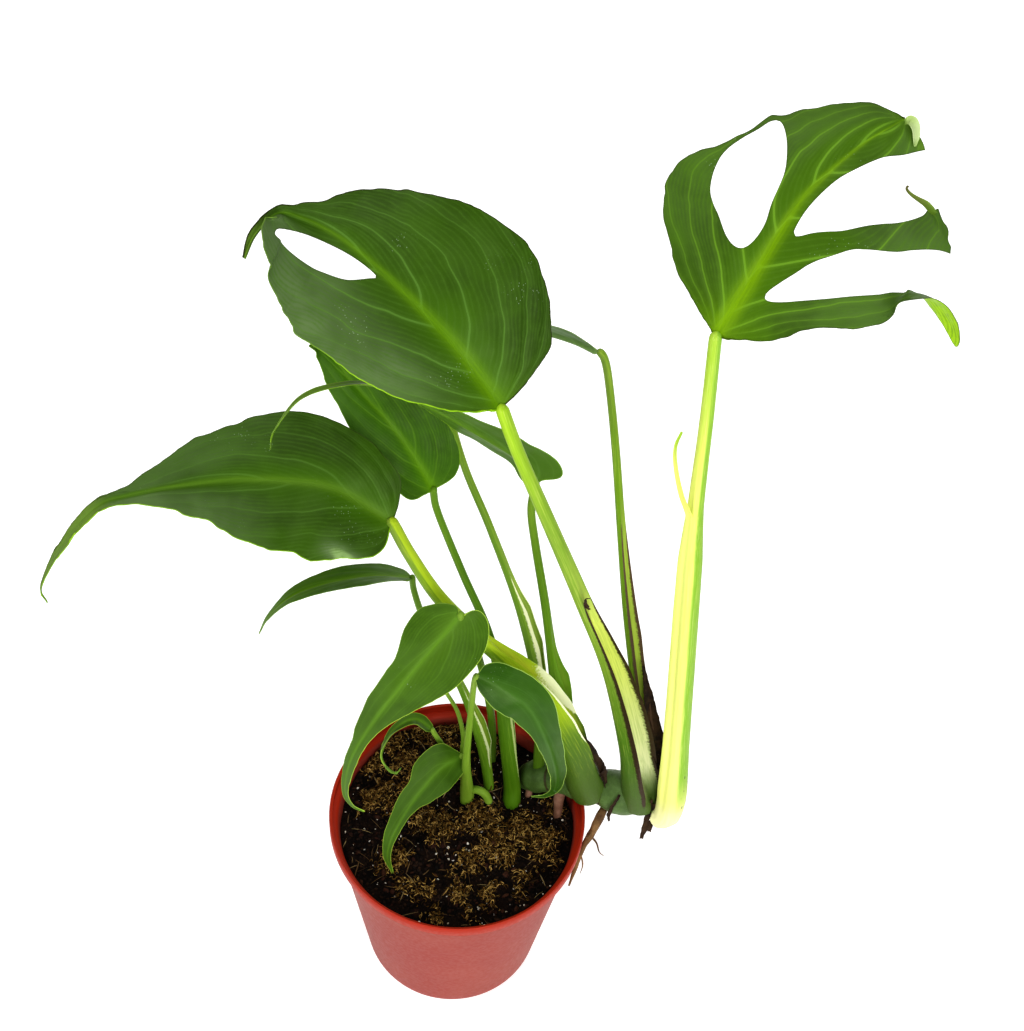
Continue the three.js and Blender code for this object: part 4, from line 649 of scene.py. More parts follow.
stalks = {
    "a": {
        "radius": [7.5, 8, 7.2, 6.2, 5.4, 4.8, 4.3, 3.9, 3.6, 3.4, 3.3],
        "open": [0, 0.6, 1, 1, 0.9, 0.7, 0.15, 0, 0, 0, 0], "wing": [0, 3, 4.5, 4, 3, 1.5, 0, 0, 0, 0, 0],
        "face": [[0.75, -0.6, 0.2]], "flare": 0.55, "flareReach": 0.085, "flapWide": 1.1, "flapFar": 0.55,
        "path": [[107, 11, 156], [106, 12, 168], [103, 13, 183], [80, 22, 267], [58, 30, 322], [36, 39, 373],
            [19, 45, 413], [10, 49, 437], [9, 50, 440]],
    },
    "b": {
        "radius": [8.4, 8.6, 8, 7.3, 6.4, 5.4, 4.6, 4, 3.7, 3.4, 3.3],
        "open": [0, 0.7, 1, 1, 1, 0.7, 0.1, 0, 0, 0, 0], "wing": [0, 2, 3.6, 4, 4, 2.5, 0, 0, 0, 0, 0],
        "face": [[0.75, 0.35, 0.6], [0.6, 0, 0.8]], "flare": 0.4, "flareReach": 0.08, "flapWide": 1.5,
        "flapFar": 0.05,
        "path": [[77, 15, 157], [70, 15, 176], [61, 16, 202], [43, 20, 240], [24, 24, 266], [2, 28, 288],
            [-18, 32, 313], [-33, 37, 339], [-41, 40, 356], [-43, 40, 361]],
    },
    "c": {
        "radius": [5.4, 5.5, 5.2, 4.8, 4.2, 3.2, 2.5, 2.2, 2.1, 2, 2],
        "open": [0, 0, 0.2, 0.5, 0.6, 0.2, 0, 0, 0, 0, 0], "wing": [0, 0, 1, 2, 2, 1, 0, 0, 0, 0, 0],
        "face": [[0.95, 0.3, 0.1], [0.8, -0.5, 0.2]], "flapWide": 0.45,
        "path": [[34, 14, 104], [32, 18, 128], [31, 24, 144], [24, 31, 194], [19, 38, 230], [9, 50, 262],
            [-6, 60, 296], [-21, 70, 333], [-24, 72, 347], [-24, 72, 351]],
    },
    "d": {
        "radius": [3.6, 3.8, 3.6, 3.3, 3, 2.7, 2.5, 2.4, 2.3, 2.2, 2.2],
        "open": [0, 0.3, 0.6, 0.9, 0.9, 0.3, 0, 0, 0, 0, 0], "wing": [0, 1, 2.5, 4, 4, 1, 0, 0, 0, 0, 0],
        "face": [[0.9, -0.3, 0.2]], "flapWide": 0.5,
        "path": [[58, 24, 152], [58, 27, 168], [58, 28, 185], [51, 38, 224], [41, 56, 275], [32, 74, 309],
            [28, 82, 329], [29, 88, 342], [29, 88, 345]],
    },
    "e": {
        "radius": [3.6, 3.8, 3.6, 3.4, 3.1, 2.8, 2.5, 2.3, 2.2, 2.1, 2.1],
        "open": [0, 0.5, 0.9, 1, 1, 0.8, 0.4, 0, 0, 0, 0], "wing": [0, 1.2, 2, 2, 2, 1.5, 0.8, 0, 0, 0, 0],
        "face": [[0.7, -0.7, 0.1]], "flare": 0.2, "flapWide": 1.3, "flapFar": 0.7,
        "path": [[112, 16, 160], [111, 18, 176], [108, 20, 193], [99, 28, 228], [87, 53, 276], [78, 72, 322],
            [69, 90, 373], [62, 101, 408], [58, 104, 424], [55, 104, 429]],
    },
    "f": {
        "radius": [8, 8.6, 7.6, 7.2, 7, 6.8, 6.4, 4.2, 3.6, 3.3, 3.1],
        "open": [0, 0.1, 0.16, 0.16, 0.16, 0.16, 0.16, 0.1, 0, 0, 0],
        "wing": [0, 0.5, 0.8, 0.8, 0.8, 0.8, 0.6, 0, 0, 0, 0], "face": [[-0.7, -0.7, 0.1]], "flapWide": 0.6,
        "path": [[119, 5, 151], [123, 3, 156], [124, 4, 168], [123, 5, 185], [118, 19, 253], [113, 36, 321],
            [110, 50, 370], [108, 64, 428], [106, 74, 469], [106, 75, 474]],
    },
    "g": {
        "radius": [3.2, 3.2, 3.4, 3.3, 3, 2.6, 2.3, 2, 1.9, 1.8, 1.7],
        "open": [0, 0, 0.3, 0.8, 0.9, 0.4, 0, 0, 0, 0, 0], "wing": [0, 0, 0, 2.6, 2.4, 1, 0, 0, 0, 0, 0],
        "face": [[1, 0.1, 0.2], [0.8, -0.5, 0.3]], "flapWide": 0.45,
        "path": [[20, 18, 104], [18, 24, 128], [14, 33, 150], [6, 38, 184], [-3, 43, 211], [-14, 47, 237],
            [-26, 50, 265], [-32, 52, 288], [-33, 52, 300]],
    },
    "h": {
        "radius": [2.4, 2.4, 2.3, 2.2, 2.1, 2.1, 2],
        "path": [[19, 48, 104], [18, 46, 128], [17, 44, 160], [15, 41, 190], [11, 36, 225], [8, 28, 255],
            [4, 19, 287], [-3, 14, 316], [-4, 14, 322]],
    },
    "l": {
        "radius": [3.6, 3.6, 3.4, 3.1, 2.9, 2.6, 2.4, 2.2, 2.1, 2, 2],
        "open": [0, 0, 0.2, 0.8, 1, 0.9, 0.2, 0, 0, 0, 0], "wing": [0, 0, 1, 2.5, 3, 2.5, 0, 0, 0, 0, 0],
        "face": [[0.95, 0.1, 0.2], [0.8, -0.5, 0.2]], "flapWide": 0.5,
        "path": [[46, 27, 144], [46, 30, 160], [45, 34, 187], [42, 45, 212], [27, 62, 265], [7, 80, 312],
            [-9, 98, 339], [-20, 115, 363], [-22, 118, 370]],
    },
}

shootStalks = [
    {"path": [[6, 14, 104], [5, 16, 128], [3, 13, 181], [4, 11, 233], [5, 8, 270], [6, 8, 276]], "radius": [4.2,
     4.4, 4, 2.8, 2.2, 2, 1.8, 1.7, 1.6]},
    {"path": [[4, 17, 134], [2, 17, 152], [0, 19, 168], [0, 20, 174]], "radius": [2.2, 2, 1.8, 1.6]},
    {"path": [[4, 17, 132], [1, 22, 148], [-7, 25, 164], [-16, 26, 184], [-18, 26, 190]], "radius": [1.8, 1.7, 1.6,
     1.5]},
    {"path": [[5, 16, 136], [9, 15, 145], [15, 14, 143], [18, 13, 136]], "radius": [1.8, 2.4, 2.6, 2.4]},
    {"path": [[4, 17, 136], [2, 21, 150], [0, 24, 168], [0, 25, 188], [-4, 28, 208], [-11, 30, 224], [-18, 32, 237],
     [-22, 30, 240]], "radius": [1.5, 1.5, 1.4, 1.4, 1.3, 1.2, 1.1, 0.8]},
]

hangingRoot = {
    "path": [[89, 12, 150], [85, 4, 146], [80.5, -4, 138], [75.5, -11, 129], [72.5, -19, 119], [70, -26, 112]],
    "radius": [2.6, 2.6, 2.2, 1.7, 1.3, 0.6],
}

sideRoots = [
    {"path": [[81.5, -2, 140], [79, -7, 140], [77, -9, 142]], "radius": [0.7, 0.55, 0.2]},
    {"path": [[80, -5, 137], [84, -8, 134], [86, -12, 131], [89, -13, 128]], "radius": [0.7, 0.5, 0.4, 0.15]},
    {"path": [[75, -12, 128], [77, -17, 123], [76, -21, 119]], "radius": [0.5, 0.4, 0.15]},
]

anchorRoots = [
    {"path": [[43, 26, 142], [42, 24, 134], [41, 20, 118], [40, 17, 104]], "radius": [2.4, 2.2, 1.8, 1]},
    {"path": [[61, 19, 150], [60, 16, 140], [60, 11, 128], [58, 8, 108]], "radius": [3.4, 3, 2.4, 1.2]},
]

sheathTip = {
    "rib": [[111, 46, 350], [108, 48, 371], [101, 49, 389], [96, 51, 406], [94, 53, 419], [96, 56, 427]],
    "face": [[-0.6, -0.8, 0.1]],
    "width": [3.5, 2.6, 1.8, 1.4, 1.1, 0.5],
}

leafEnds = [
    {"rib": [[196, 98, 536.4], [193.5, 98.7, 537.5], [190.4, 101, 539.3], [186.8, 103, 540.2], [183.7, 105, 541],
     [181.5, 106, 542.8], [181.4, 105.5, 544.9]], "face": [[0, -0.5, 0.8]], "width": [0.6, 1.6, 1.5, 1.1, 0.8, 0.6,
     0.4]},
    {"rib": [[178.5, 130, 561], [180.5, 129, 563], [182.5, 127, 561.5], [183.7, 125, 558], [184.3, 123, 553.5]],
     "face": [[-0.2, -0.6, 0.8], [0.6, -0.6, 0.4], [0.5, -0.8, 0]], "width": [1, 2.3, 2.6, 2, 0.5]},
]

# show is how strongly the main veins stand out, rimWide the width of the pale margin in mm
leafPaints = {
    "mature": {"deep": "#2c4609", "green": "#355602", "warm": "#406800", "fine": "#45681c", "vein": "#587e30",
        "rib": "#5f8800", "rim": "#9ccc20", "strap": "#688432", "under": "#4f7322", "rough": 0.45, "specks": 0.5,
        "show": 0.7, "rimWide": 0.7},
    "calm": {"deep": "#2c4609", "green": "#355602", "warm": "#3e6404", "fine": "#42641a", "vein": "#557a2e",
        "rib": "#587c1a", "rim": "#9ccc20", "strap": "#688432", "under": "#4f7322", "rough": 0.45, "specks": 0.4,
        "show": 0.4, "rimWide": 0.7},
    "split": {"deep": "#324e08", "green": "#3f6202", "warm": "#4a7300", "fine": "#4c7018", "vein": "#6c9628",
        "rib": "#749a00", "rim": "#9ccc20", "strap": "#6a9020", "under": "#83a634", "tipUnder": "#9cc61c",
        "rough": 0.44, "specks": 0.5, "show": 0.75, "rimWide": 0.6},
    "fresh": {"deep": "#2d4f00", "green": "#386200", "warm": "#416e00", "fine": "#4a7608", "vein": "#5a8416",
        "rib": "#628e08", "rim": "#9cc82a", "strap": "#66891c", "under": "#76a020", "rough": 0.46, "specks": 0.1,
        "show": 0.45, "rimWide": 0.5},
    "lit": {"deep": "#466f06", "green": "#547c10", "warm": "#5c8810", "fine": "#5c8818", "vein": "#709a2c",
        "rib": "#80a82c", "rim": "#9cc82a", "strap": "#7c9a3c", "under": "#6c9420", "rough": 0.46, "specks": 0,
        "show": 0.4, "rimWide": 0.5},
    "shade": {"deep": "#344e1e", "green": "#405c28", "warm": "#4a6a20", "fine": "#54743a", "vein": "#668050",
        "rib": "#6a8a3c", "rim": "#8ea85c", "strap": "#6c8840", "under": "#566e44", "rough": 0.46, "specks": 0,
        "show": 0.5, "rimWide": 0.5},
    "young": {"deep": "#3a5812", "green": "#446517", "warm": "#4d7014", "fine": "#50741e", "vein": "#5c8228",
        "rib": "#628a28", "rim": "#b0d04c", "strap": "#5c8424", "under": "#76983a", "rough": 0.38, "specks": 0.9,
        "show": 0.35, "rimWide": 0.4},
    "wet": {"deep": "#2a500c", "green": "#345a10", "warm": "#3b6412", "fine": "#3f671e", "vein": "#466e28",
        "rib": "#486f28", "rim": "#a4c45c", "strap": "#5c8430", "under": "#9cba50", "rough": 0.32, "specks": 1,
        "show": 0.3, "rimWide": 0.4},
}


def bladeFace(name, paint, lower):
    s = Shader(name)
    where = s.place()
    vein, gap, span, edge, pale = (s.read(n) for n in ("vein", "gap", "span", "edge", "pale"))
    along, rim, strap, paintedSheen = (s.read(n) for n in ("along", "rim", "strap", "paintedSheen"))
    broad = s.cloud(26, 3, 0.55, where)
    mottle = s.cloud(240, 4, 0.6, where)
    grain = s.join(s.read("flatX"), s.times(s.read("flatY"), 0.06))
    pale = s.times(pale, s.step(s.cloud(1.1, 3, 0.6, grain), 0.35, 0.62, 0.72, 1.0))
    # blade: dark and clear green in soft patches, warmer by the rib and the foot, greyed by a painted sheen
    base = s.blend(s.step(broad, 0.36, 0.64), paint["deep"], paint["green"])
    near = s.times(s.step(span, 0.0, 0.5, 0.9, 0.0), s.step(along, 0.0, 0.8, 1.0, 0.15))
    base = s.blend(near, base, paint["warm"])
    sheenMix = s.times(paintedSheen, s.step(broad, 0.3, 0.55, 0.5, 1.0))
    base = s.blend(s.math("MINIMUM", sheenMix, 1.0), base, "#5d7348")
    # painted highlight: a pale green where the painted sheen passes 1, at the highlight spots
    base = s.blend(s.step(paintedSheen, 1.0, 2.0, 0.0, 0.9), base, "#93b070")
    if lower:
        base = s.blend(0.85, base, paint["under"])
        if "tipUnder" in paint:
            base = s.blend(s.step(s.read("flatX"), 62.0, 78.0), base, paint["tipUnder"])
    # fine parallel veins, six between two main ones
    fine = s.line(s.times(vein, 6.0), s.times(gap, 1 / 6), 0.05, 0.75)
    fine = s.times(fine, s.step(mottle, 0.25, 0.65, 0.25, 0.8))
    fine = s.times(fine, s.step(gap, 3.0, 9.0, 0.15, 1.0))
    # tip's tail: a grey-green tint, partly the tip's own colour and partly a painted sheen
    base = s.blend(strap, base, paint["strap"])
    base = s.blend(s.times(fine, 0.55), base, paint["fine"])
    base = s.blend(s.step(mottle, 0.5, 0.8, 0, 0.25), base, paint["fine"])
    # main veins: a thin line in a soft glow, both fading towards the edge
    fade = s.times(s.step(span, 0.15, 1.0, 1.0, 0.3), s.step(gap, 1.0, 5.0, 0.25, 1.0))
    glow = s.times(s.line(vein, gap, 0.2, 2.2), s.times(fade, 0.3 * paint["show"]))
    base = s.blend(glow, base, paint["vein"])
    main = s.line(vein, gap, s.step(span, 0.0, 0.6, 0.3, 0.06), 0.45)
    main = s.times(main, s.times(fade, 0.9 * paint["show"]))
    base = s.blend(main, base, paint["vein"])
    base = s.blend(s.times(pale, 0.7 if lower else 1.0), base, paint["rib"])
    # margin: a thin pale or dark line
    line = s.step(edge, 0.1, paint["rimWide"], 1.0, 0.0)
    base = s.blend(s.times(line, s.math("MAXIMUM", rim, 0.0)), base, paint["rim"])
    base = s.blend(s.times(line, s.math("MAXIMUM", s.times(rim, -1.0), 0.0)), base, "#2b2a16")
    if paint["specks"] and not lower:
        dot = s.step(s.dots(620.0, where), 0.08, 0.2, 1.0, 0.0)
        zone = s.step(s.cloud(40, 2, 0.5, where), 0.60, 0.70, 0.0, paint["specks"])
        base = s.blend(s.times(dot, zone), base, "#a9bca0")
    rough = s.step(s.cloud(90, 2, 0.5, where), 0.3, 0.7, paint["rough"] - 0.04, paint["rough"] + 0.08)
    s.set(Base_Color=base, Roughness=rough, IOR=1.45, Specular_IOR_Level=0.22, Specular_Tint=(0.85, 1, 0.6, 1))
    sunk = s.math("ADD", s.times(main, 0.5), s.times(fine, 0.3))
    s.set(Normal=s.bump(s.math("SUBTRACT", s.times(mottle, 0.2), sunk), 0.5, 0.00022))
    return s.material


paints = {n: [bladeFace("leaf_" + n + end, p, bool(end)) for end in ("", "_under")] for n, p in leafPaints.items()}

for key, leaf in leaves.items():
    points, faces, side, values = leafBody(leaf)
    makePiece("blade_" + key, points, faces, paints[leaf["paint"]], ("leaf_" + key,), values, side)
print("blades made:", len(leaves))


# A closed body swept along a rib: ring point (across, out) of row k stands at place + across * x + out * y
def sweptBody(rib, k, ring):
    place, along, out, across = ribAt(rib, k * rib["length"])
    points = place[:, None] + across[:, None] * ring[..., :1] + out[:, None] * ring[..., 1:]
    rows, cols = ring.shape[:2]
    tris = np.vstack([trisOf(gridFaces(rows, cols, closed=True)[:, ::-1]), capFaces(rows, cols)])
    points = np.vstack([points.reshape(-1, 3), points[0].mean(0), points[-1].mean(0)])
    return points, facesOut(points, tris, tris)


def capped(values):  # per-point values for the two pole points of a swept body
    return np.concatenate([values.ravel(), [values[0].mean(), values[-1].mean()]])


# Section: a round back of radius r; where the sheath opens, its front sinks to a channel of 0.5 r and the two
# sides reach out by wing * open as thin flaps; the closed ring is a smooth curve through those corners
corners = np.radians([-140, -122, -95, -65, -32, 0, 32, 65, 95, 122, 140, 150, 166, 180, 194, 210])
flapTips, besideTips = [0, 10], [1, 9]
ringCount = 64


def stalkSection(radius, opened, wing):
    r, o, w = radius[:, None], opened[:, None], (wing * opened)[:, None]
    a, count = corners[None, :], len(corners)
    x, y = r * np.sin(a), -r * np.cos(a)
    tip = np.isin(np.arange(count), flapTips)[None, :]
    x = np.where(tip, (r + w) * np.sin(a), x)
    y = np.where(tip, -(r + w) * np.cos(a) + 0.6 * w, y)
    near = np.isin(np.arange(count), besideTips)[None, :]
    x = np.where(near, (r + 0.25 * w) * np.sin(a), x)
    tipX, tipY = x[:, 10:11], y[:, 10:11]
    front = {11: (1, 0.86, 0.14), 12: (1, 0.2, 0.8), 13: (0, 0, 1), 14: (-1, 0.2, 0.8), 15: (-1, 0.86, 0.14)}
    for n, (hand, toTip, toWell) in front.items():
        wellX, wellY = (0.56 * r, 0.06 * r) if hand else (0 * r, -0.5 * r)
        insideX, insideY = hand * (toTip * tipX + toWell * wellX), toTip * tipY + toWell * wellY
        x[:, n:n + 1] = x[:, n:n + 1] * (1 - o) + insideX * o
        y[:, n:n + 1] = y[:, n:n + 1] * (1 - o) + insideY * o
    ring = np.stack([x, y], -1)
    u = np.arange(ringCount) / ringCount * count
    i, f = u.astype(int), (u % 1)[None, :, None]
    p, q, s, t = (ring[:, (i + d) % count] for d in (-1, 0, 1, 2))
    return 0.5 * (2 * q + (s - p) * f + (2 * p - 5 * q + 4 * s - t) * f**2 + (3 * q - p - 3 * s + t) * f**3), u


# Foot swollen by flare within flareReach of its length, radius closed as a circle over the last 1.3 r; flapWide and
# flapFar are the dry margins' widths in corners, on the near side and the far one
plainStalk = {
    "open": [0, 0], "wing": [0, 0], "face": frontFace, "flare": 0, "flareReach": 0.045, "flapWide": 0.6,
    "flapFar": None, "seed": 1, "rows": 110, "extend": 2.0,
}


def stalkBody(spec):
    spec = {**plainStalk, **spec}
    path = [list(p) for p in spec["path"]]
    way = unit(np.subtract(path[-1], path[-2]))
    path[-1] = list(np.add(path[-1], way * spec["extend"]))  # up into the blade's foot
    rib = ribOf(path, spec["face"])
    k = 1 - (1 - np.linspace(0, 1, spec["rows"])) ** 1.25
    radius = spread(spec["radius"], k) * (1 + spec["flare"] * np.exp(-((k - 0.02) / spec["flareReach"]) ** 2))
    left = (1 - k) * rib["length"]
    radius = radius * np.sqrt(np.clip(1 - np.clip(1 - left / (1.3 * radius), 0, 1) ** 2, 0.02, 1))
    opened, wing = spread(spec["open"], k), spread(spec["wing"], k)
    flutter = noise(np.stack([k * 60, 0 * k, 0 * k + spec["seed"] * 3.7], -1), 3.0, 5)
    ring, u = stalkSection(radius, opened, wing * (1 + 0.12 * flutter))
    points, faces = sweptBody(rib, k, ring)
    near = np.exp(-((u - 10.1) / spec["flapWide"]) ** 2)
    far = np.exp(-(np.minimum(abs(u), 15.9 - u) / (spec["flapFar"] or spec["flapWide"])) ** 2)
    flap = np.maximum(near, far)[None, :] * np.minimum(1, 2.5 * opened * np.minimum(1, wing))[:, None]
    inner = smooth(10.6, 11.6, u)[None, :] * smooth(16.0, 15.0, u)[None, :] * np.minimum(1, 1.6 * opened)[:, None]
    out, across = ribAt(rib, k * rib["length"])[2:]
    side = (across[:, None, 0] * ring[..., 0] + out[:, None, 0] * ring[..., 1]) / radius[:, None]
    along = k[:, None] + 0 * side
    values = {"length": along * rib["length"], "along": along, "secX": ring[..., 0], "secY": ring[..., 1],
              "flap": flap, "inner": inner, "side": side}
    return points, faces, {n: capped(v) for n, v in values.items()}


def joinBodies(bodies):  # several bodies with the same values as one
    points, faces, values, start = [], [], {n: [] for n in bodies[0][2]}, 0
    for p, f, v in bodies:
        points.append(p)
        faces.append(f + start)
        start += len(p)
        for n in values:
            values[n].append(v[n])
    return np.vstack(points), np.vstack(faces), {n: np.concatenate(v) for n, v in values.items()}


# From the foot: base until baseTo, low, mid by half way, top. side tints the half that faces right, by share and from
# sideFrom; inner and lining are the open sheath's face, flap its margin, dry how much it has dried, up to creamTo
stalkPaints = {
    "a": {"base": "#465e2c", "low": "#4f7c1e", "mid": "#86a838", "top": "#a8d02c", "side": "#8cb43a", "share": 0.3,
        "inner": "#e6f07c", "lining": "#ecf0c0", "flap": "#3a2a1c", "dry": 1, "olive": 0.12, "baseTo": 0.24},
    "b": {"base": "#425c2a", "low": "#50781e", "mid": "#7ca41c", "top": "#7c9a3a", "side": "#b8d428", "share": 0.9,
        "sideFrom": 0.24, "baseTo": 0.3, "inner": "#d2e040", "flap": "#f2f5cc", "dry": 1, "creamTo": 0.46},
    "c": {"base": "#3a6410", "low": "#457412", "mid": "#4a7818", "top": "#6a9428", "side": "#5c8c20", "share": 0.4,
        "inner": "#93b440", "flap": "#c9d890", "dry": 0.7},
    "d": {"base": "#4a7014", "low": "#507a12", "mid": "#5c881c", "top": "#86ac38", "side": "#6f9c28", "share": 0.4,
        "inner": "#86ac38", "flap": "#6c9428", "dry": 0.6},
    "e": {"base": "#4c4a2c", "low": "#5c7c1c", "mid": "#6f9a20", "top": "#6c8a34", "side": "#8fb430", "share": 0.5,
        "inner": "#c8de64", "flap": "#66503f", "dry": 1},
    "f": {"base": "#f2f2b4", "low": "#eff486", "mid": "#e6ee74", "top": "#a2c63c", "side": "#8aba34", "share": 1,
        "inner": "#f2f6a4", "flap": "#d8e87c", "dry": 0.5, "marks": "#4c4a24", "olive": 0},
    "g": {"base": "#4e7a1c", "low": "#5a881e", "mid": "#64902a", "top": "#709a34", "side": "#7ca830", "share": 0.4,
        "inner": "#a4c048", "flap": "#dfe8b0", "dry": 0.9},
    "h": {"base": "#4e761c", "low": "#568020", "mid": "#608c28", "top": "#7ca23a", "side": "#7ca23a", "share": 0.4,
        "inner": "#7ca23a", "flap": "#7ca23a", "dry": 0},
    "l": {"base": "#547c20", "low": "#5c8424", "mid": "#6c9430", "top": "#88ac40", "side": "#9cbc44", "share": 0.4,
        "inner": "#b4cc60", "flap": "#eef0c4", "dry": 1},
    "shoot": {"base": "#b8d070", "low": "#7ca234", "mid": "#7aa036", "top": "#90b448", "side": "#96be44",
        "share": 0.4, "inner": "#a9c45c", "flap": "#a9c45c", "dry": 0},
    "tail": {"base": "#4c6c22", "low": "#587828", "mid": "#6a7a38", "top": "#5a4c34", "side": "#9cbc44",
        "share": 0.2, "inner": "#a9c45c", "flap": "#a9c45c", "dry": 0},
    "scrap": {"base": "#7c9a44", "low": "#a4bc70", "mid": "#bccf92", "top": "#9cb46c", "side": "#bccf92",
        "share": 0.2, "inner": "#c9d8a4", "flap": "#c9d8a4", "dry": 0, "olive": 0},
}


def stalkSkin(name, paint):
    s = Shader(name)
    along, length, inner, flap, side = (s.read(n) for n in ("along", "length", "inner", "flap", "side"))
    secX, secY = s.read("secX"), s.read("secY")
    streak = s.cloud(1.3, 4, 0.6, s.join(secX, secY, s.times(length, 0.03)))
    spot = s.cloud(700, 3, 0.5)
    base = s.blend(s.step(along, 0.02, paint.get("baseTo", 0.1)), paint["base"], paint["low"])
    base = s.blend(s.step(along, 0.15, 0.5), base, paint["mid"])
    base = s.blend(s.step(along, 0.7, 0.98), base, paint["top"])
    # the half that faces right, with a streaky border
    sideFrom = (paint["sideFrom"], paint["sideFrom"] + 0.12) if "sideFrom" in paint else (0.03, 0.16)
    warped = s.math("ADD", side, s.times(s.math("SUBTRACT", streak, 0.5), 0.35))
    right = s.times(s.step(warped, 0.1, 0.42), s.step(along, *sideFrom, 0.0, paint["share"]))
    base = s.blend(right, base, paint["side"])
    base = s.blend(s.times(s.step(streak, 0.5, 0.7, 0, 0.3), s.step(along, 0.06, 0.25)), base, paint["inner"])
    base = s.blend(s.step(streak, 0.5, 0.3, 0, 0.25), base, paint["low"])
    # inside of the sheath
    lining = s.blend(s.step(along, 0.1, 0.45), paint.get("lining", paint["inner"]), paint["inner"])
    lining = s.blend(s.step(streak, 0.4, 0.7, 0, 0.35), lining, paint["mid"])
    base = s.blend(s.times(inner, s.step(along, 0.03, 0.12)), base, lining)
    base = s.blend(paint.get("olive", 0.22), base, "#5e6c04")
    # ragged dry margin
    if "creamTo" in paint:
        end = paint["creamTo"]
        slant = s.math("ADD", along, s.times(side, 0.1))
        window = s.times(s.step(slant, end - 0.12, end - 0.06), s.step(along, end - 0.08, end + 0.04, 1.0, 0.0))
        flap = s.times(flap, window)
    ragged = s.math("ADD", flap, s.times(s.math("SUBTRACT", spot, 0.5), 0.5))
    base = s.blend(s.times(s.step(ragged, 0.2, 0.45), paint["dry"]), base, paint["flap"])
    if "marks" in paint:
        cell = s.dots(0.55, s.join(secX, secY, s.times(length, 0.35)))
        band = s.times(s.step(along, 0.05, 0.07), s.step(along, 0.14, 0.18, 1.0, 0.0))
        zone = s.times(s.step(side, 0.5, 0.7), band)
        base = s.blend(s.times(s.step(cell, 0.18, 0.3, 0.9, 0.0), zone), base, paint["marks"])
    rough = s.step(spot, 0.3, 0.7, 0.4, 0.52)
    s.set(Base_Color=base, Roughness=rough, IOR=1.45, Specular_IOR_Level=0.22, Specular_Tint=(0.9, 1, 0.7, 1))
    s.set(Normal=s.bump(s.math("ADD", streak, s.times(spot, 0.15)), 0.35, 0.0005))
    return s.material


for n, (key, spec) in enumerate(stalks.items()):
    points, faces, values = stalkBody({**spec, "seed": n})
    slotName, skin = "pale_stalk_skin" if key == "f" else "stalk_skin", stalkSkin("stalk_" + key, stalkPaints[key])
    makePiece("stalk_skin_" + key, points, faces, [skin], ("stalk_" + key,), values)
points, faces, values = joinBodies([stalkBody({**spec, "rows": 60}) for spec in shootStalks])
skin = stalkSkin("shoot", stalkPaints["shoot"])
makePiece("shoot_skin", points, faces, [skin], ("young_shoot",), values)
print("stalks made:", len(stalks) + 1)


# A tube along a rib: radius times 1 + noise, with rings swollen as bells in k; scar is 1 on each ring scar
def tubeBody(spec, rows, lumps, seed, around):
    rib = ribOf(spec["path"], spec.get("face", frontFace))
    k = np.linspace(0, 1, rows)[:, None]
    a = np.linspace(0, 2 * np.pi, around, endpoint=False)[None]
    radius = spread(spec["radius"], k[:, 0])[:, None]
    where = np.stack([np.cos(a) * radius, np.sin(a) * radius, k * rib["length"] + 0 * a], -1)
    radius = radius * (1 + lumps * noise(where, 5, seed) + 0.4 * lumps * noise(where, 1.8, seed + 1))
    for at, grow, wide in spec.get("rings", []):
        radius = radius * (1 + grow * np.exp(-((k - at) / wide) ** 2))
    ring = np.stack([radius * np.sin(a), -radius * np.cos(a)], -1)
    points, faces = sweptBody(rib, k[:, 0], ring)
    scar = 0 * radius + sum(np.exp(-((k - at) / 0.007) ** 2) for at in spec.get("scars", []))
    values = {"along": k + 0 * a, "length": k * rib["length"] + 0 * a, "scar": scar, "secX": ring[..., 0],
              "secY": ring[..., 1]}
    return points, faces, {n: capped(v) for n, v in values.items()}


barkPaints = {
    "stem": {"one": "#465e2a", "two": "#5a753c", "mark": "#6c8450", "scar": "#3e3020", "rough": 0.45},
    "root": {"one": "#5a4028", "two": "#8a6a44", "mark": "#b09468", "scar": "#4a3826", "rough": 0.8},
    "anchor": {"one": "#6b4a38", "two": "#94705c", "mark": "#6b7038", "scar": "#4a3826", "rough": 0.75},
    "dry": {"one": "#1e140e", "two": "#43301f", "mark": "#846c50", "scar": "#4a3826", "rough": 0.75},
}


def barkSkin(name, paint):
    s = Shader(name)
    where = s.place()
    patch = s.cloud(90, 4, 0.6, where)
    fine = s.cloud(900, 4, 0.65, where)
    base = s.blend(s.step(patch, 0.35, 0.65), paint["one"], paint["two"])
    base = s.blend(s.step(fine, 0.6, 0.78, 0, 0.6), base, paint["mark"])
    base = s.blend(s.step(s.read("scar"), 0.3, 0.7, 0, 0.8), base, paint["scar"])
    rough = s.step(fine, 0.3, 0.7, paint["rough"] - 0.1, paint["rough"] + 0.1)
    s.set(Base_Color=base, Roughness=rough, IOR=1.45, Specular_IOR_Level=0.25)
    s.set(Normal=s.bump(s.math("ADD", fine, patch), 0.5, 0.0006))
    return s.material


barks = {n: barkSkin("bark_" + n, p) for n, p in barkPaints.items()}
points, faces, values = tubeBody(stem, rows=160, lumps=0.03, seed=3, around=64)
makePiece("stem_skin", points, faces, [barks["stem"]], ("climbing_stem",), values)
points, faces, values = tubeBody(hangingRoot, rows=80, lumps=0.14, seed=7, around=24)
makePiece("hanging_root_skin", points, faces, [barks["root"]], ("hanging_root",), values)
points, faces, values = joinBodies([tubeBody(r, rows=24, lumps=0.14, seed=17, around=12) for r in sideRoots])
makePiece("side_roots", points, faces, [barks["root"]], (), values)
for n, spec in enumerate(anchorRoots, 1):
    points, faces, values = tubeBody(spec, rows=50, lumps=0.1, seed=8 + n, around=24)
    makePiece(f"anchor_root_skin_{n}", points, faces, [barks["anchor"]], (f"anchor_root_{n}",), values)


